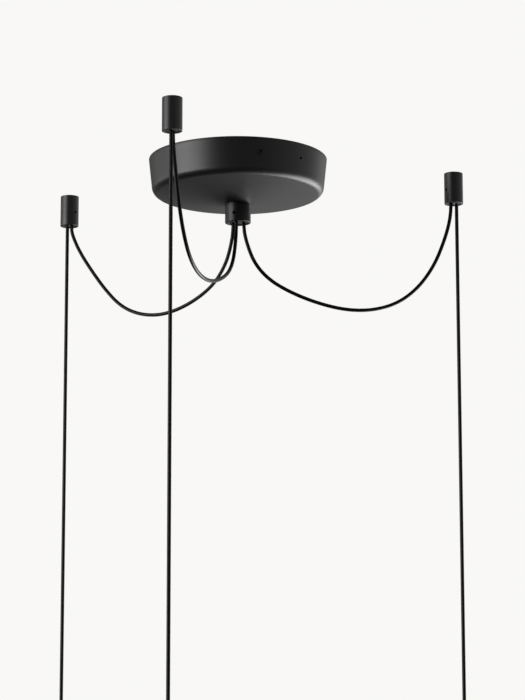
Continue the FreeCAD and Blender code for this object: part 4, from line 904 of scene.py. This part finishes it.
# ---------------- lampholder contacts
# A rolled brass thread shell that the lamp's cap screws into, and a domed brass tongue on the
# ceramic that meets the lamp's centre contact.
SHELL_R, SHELL_SHEET, SHELL_WAVE, SHELL_PITCH = 14.3 * MM, 0.4 * MM, 0.4 * MM, 3.6 * MM
TONGUE_R, TONGUE, TONGUE_EDGE = 3.0 * MM, 1.2 * MM, 0.5 * MM
shell_foot = span("holder_contacts_left")[0]
shell_skins = [threaded(radius, SHELL_WAVE, SHELL_PITCH, insert_low, shell_foot, 90, HOLDER_COUNT)
               for radius in (SHELL_R, SHELL_R - SHELL_SHEET)]
shell_grid = np.concatenate([shell_skins[0], shell_skins[1][::-1],
                             turned([(SHELL_R, insert_low)], HOLDER_COUNT)])
dome = [(0, ledge), (TONGUE_R, ledge), (TONGUE_R, ledge - TONGUE_EDGE)]
dome += [(TONGUE_R * math.cos(t), ledge - TONGUE_EDGE - (TONGUE - TONGUE_EDGE) * math.sin(t))
         for t in np.linspace(0.25, np.pi / 2, 8)[:-1]] + [(0, ledge - TONGUE)]
brass = surface("turned_brass", (0.62, 0.42, 0.16), 0.26, 70.0, 500.0, 0.02 * MM, 1.0, (1, 1, 8))
on_each_drop("holder_contacts", [shell_grid, turned(dome, HOLDER_COUNT)], brass)

# ---------------- shade rings
# A moulded ring on the thread of each body that would clamp a shade: a flange with shallow
# finger flutes all round, and a short collar below it.
RING_BORE, RING_R, COLLAR_R = 20.1 * MM, 27.0 * MM, 22.1 * MM
FLANGE, FLUTES, FLUTE, RING_COUNT = 2.2 * MM, 30, 0.7 * MM, 240
RING_TOP_ROUND, RING_FOOT_ROUND, FLUTED = 0.7 * MM, 0.5 * MM, 2.4 * MM
RING_CHAMFER, COLLAR_CHAMFER = 0.3 * MM, 0.4 * MM
ring_low, ring_high = span("shade_ring_left")
turn = 2 * np.pi * np.arange(RING_COUNT)[None, :] / RING_COUNT
edge_line = bend((RING_R - RING_TOP_ROUND, ring_high - RING_TOP_ROUND), RING_TOP_ROUND, 90, 0, 6)
edge_line += bend((RING_R - RING_FOOT_ROUND, ring_high - FLANGE + RING_FOOT_ROUND),
                  RING_FOOT_ROUND, 0, -90, 5)
edge_line = np.array(edge_line)
flutes = round_points(edge_line[:, :1] - FLUTE * (0.5 - 0.5 * np.cos(FLUTES * turn)) ** 3, turn,
                      edge_line[:, 1:])
ring_top = [(RING_BORE, ring_high - RING_CHAMFER), (RING_BORE + RING_CHAMFER, ring_high),
            (RING_R - FLUTED, ring_high)]
ring_foot = [(RING_R - FLUTED, ring_high - FLANGE), (COLLAR_R, ring_high - FLANGE),
             (COLLAR_R, ring_low + COLLAR_CHAMFER), (COLLAR_R - COLLAR_CHAMFER, ring_low),
             (RING_BORE + RING_CHAMFER, ring_low), (RING_BORE, ring_low + RING_CHAMFER),
             (RING_BORE, ring_high - RING_CHAMFER)]
ring_grid = np.concatenate([turned(ring_top, RING_COUNT), flutes, turned(ring_foot, RING_COUNT)])
on_each_drop("shade_ring", [ring_grid], nylon, "shade_ring")

# ---------------- zinc plated steel
# The bracket, its screws and nuts, the outlet's screws, the clamp screws, and the cups and
# pegs inside the anchors are the CAD's own bodies, in bright zinc plate with a fine grain.
zinc = surface("zinc_plate", (0.55, 0.56, 0.55), 0.30, 40.0, 300.0, 0.02 * MM, 1.0, (1, 6, 6))


def finish_nodes(material, *names):
    """Gives CAD nodes that are shown as they are a procedural finish."""
    for node in names:
        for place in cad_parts[node].material_slots:
            place.material = material


finish_nodes(zinc, "ceiling_bracket", "bracket_screws", "side_nuts", "outlet_screws",
             "terminal_screws", *(f"anchor_{part}_{name}" for part in ("base", "peg")
                                  for name in anchor_names))

# ---------------- terminal block and clamps
# The block is moulded from off white nylon and holds a turned brass clamp for each pole.  Both
# are the CAD's own bodies.
block_nylon = surface("white_nylon", (0.74, 0.73, 0.68), 0.42, 50.0, 900.0, 0.04 * MM)
finish_nodes(block_nylon, "terminal_block")
finish_nodes(brass, "terminal_clamps")

# ---------------- clips and set screws
# A black nylon clip on each cord behind the cord plate, and the black oxide set screws of the
# outlet and of the anchors, deep in their holes.
finish_nodes(nylon, "cord_stops")
deep_black = surface("set_screw_black", (0.002, 0.002, 0.002), 0.6, 90.0, 2500.0, 0.02 * MM,
                     shine=0.05)
finish_nodes(deep_black, "outlet_set_screw", *(f"anchor_screw_{name}" for name in anchor_names))
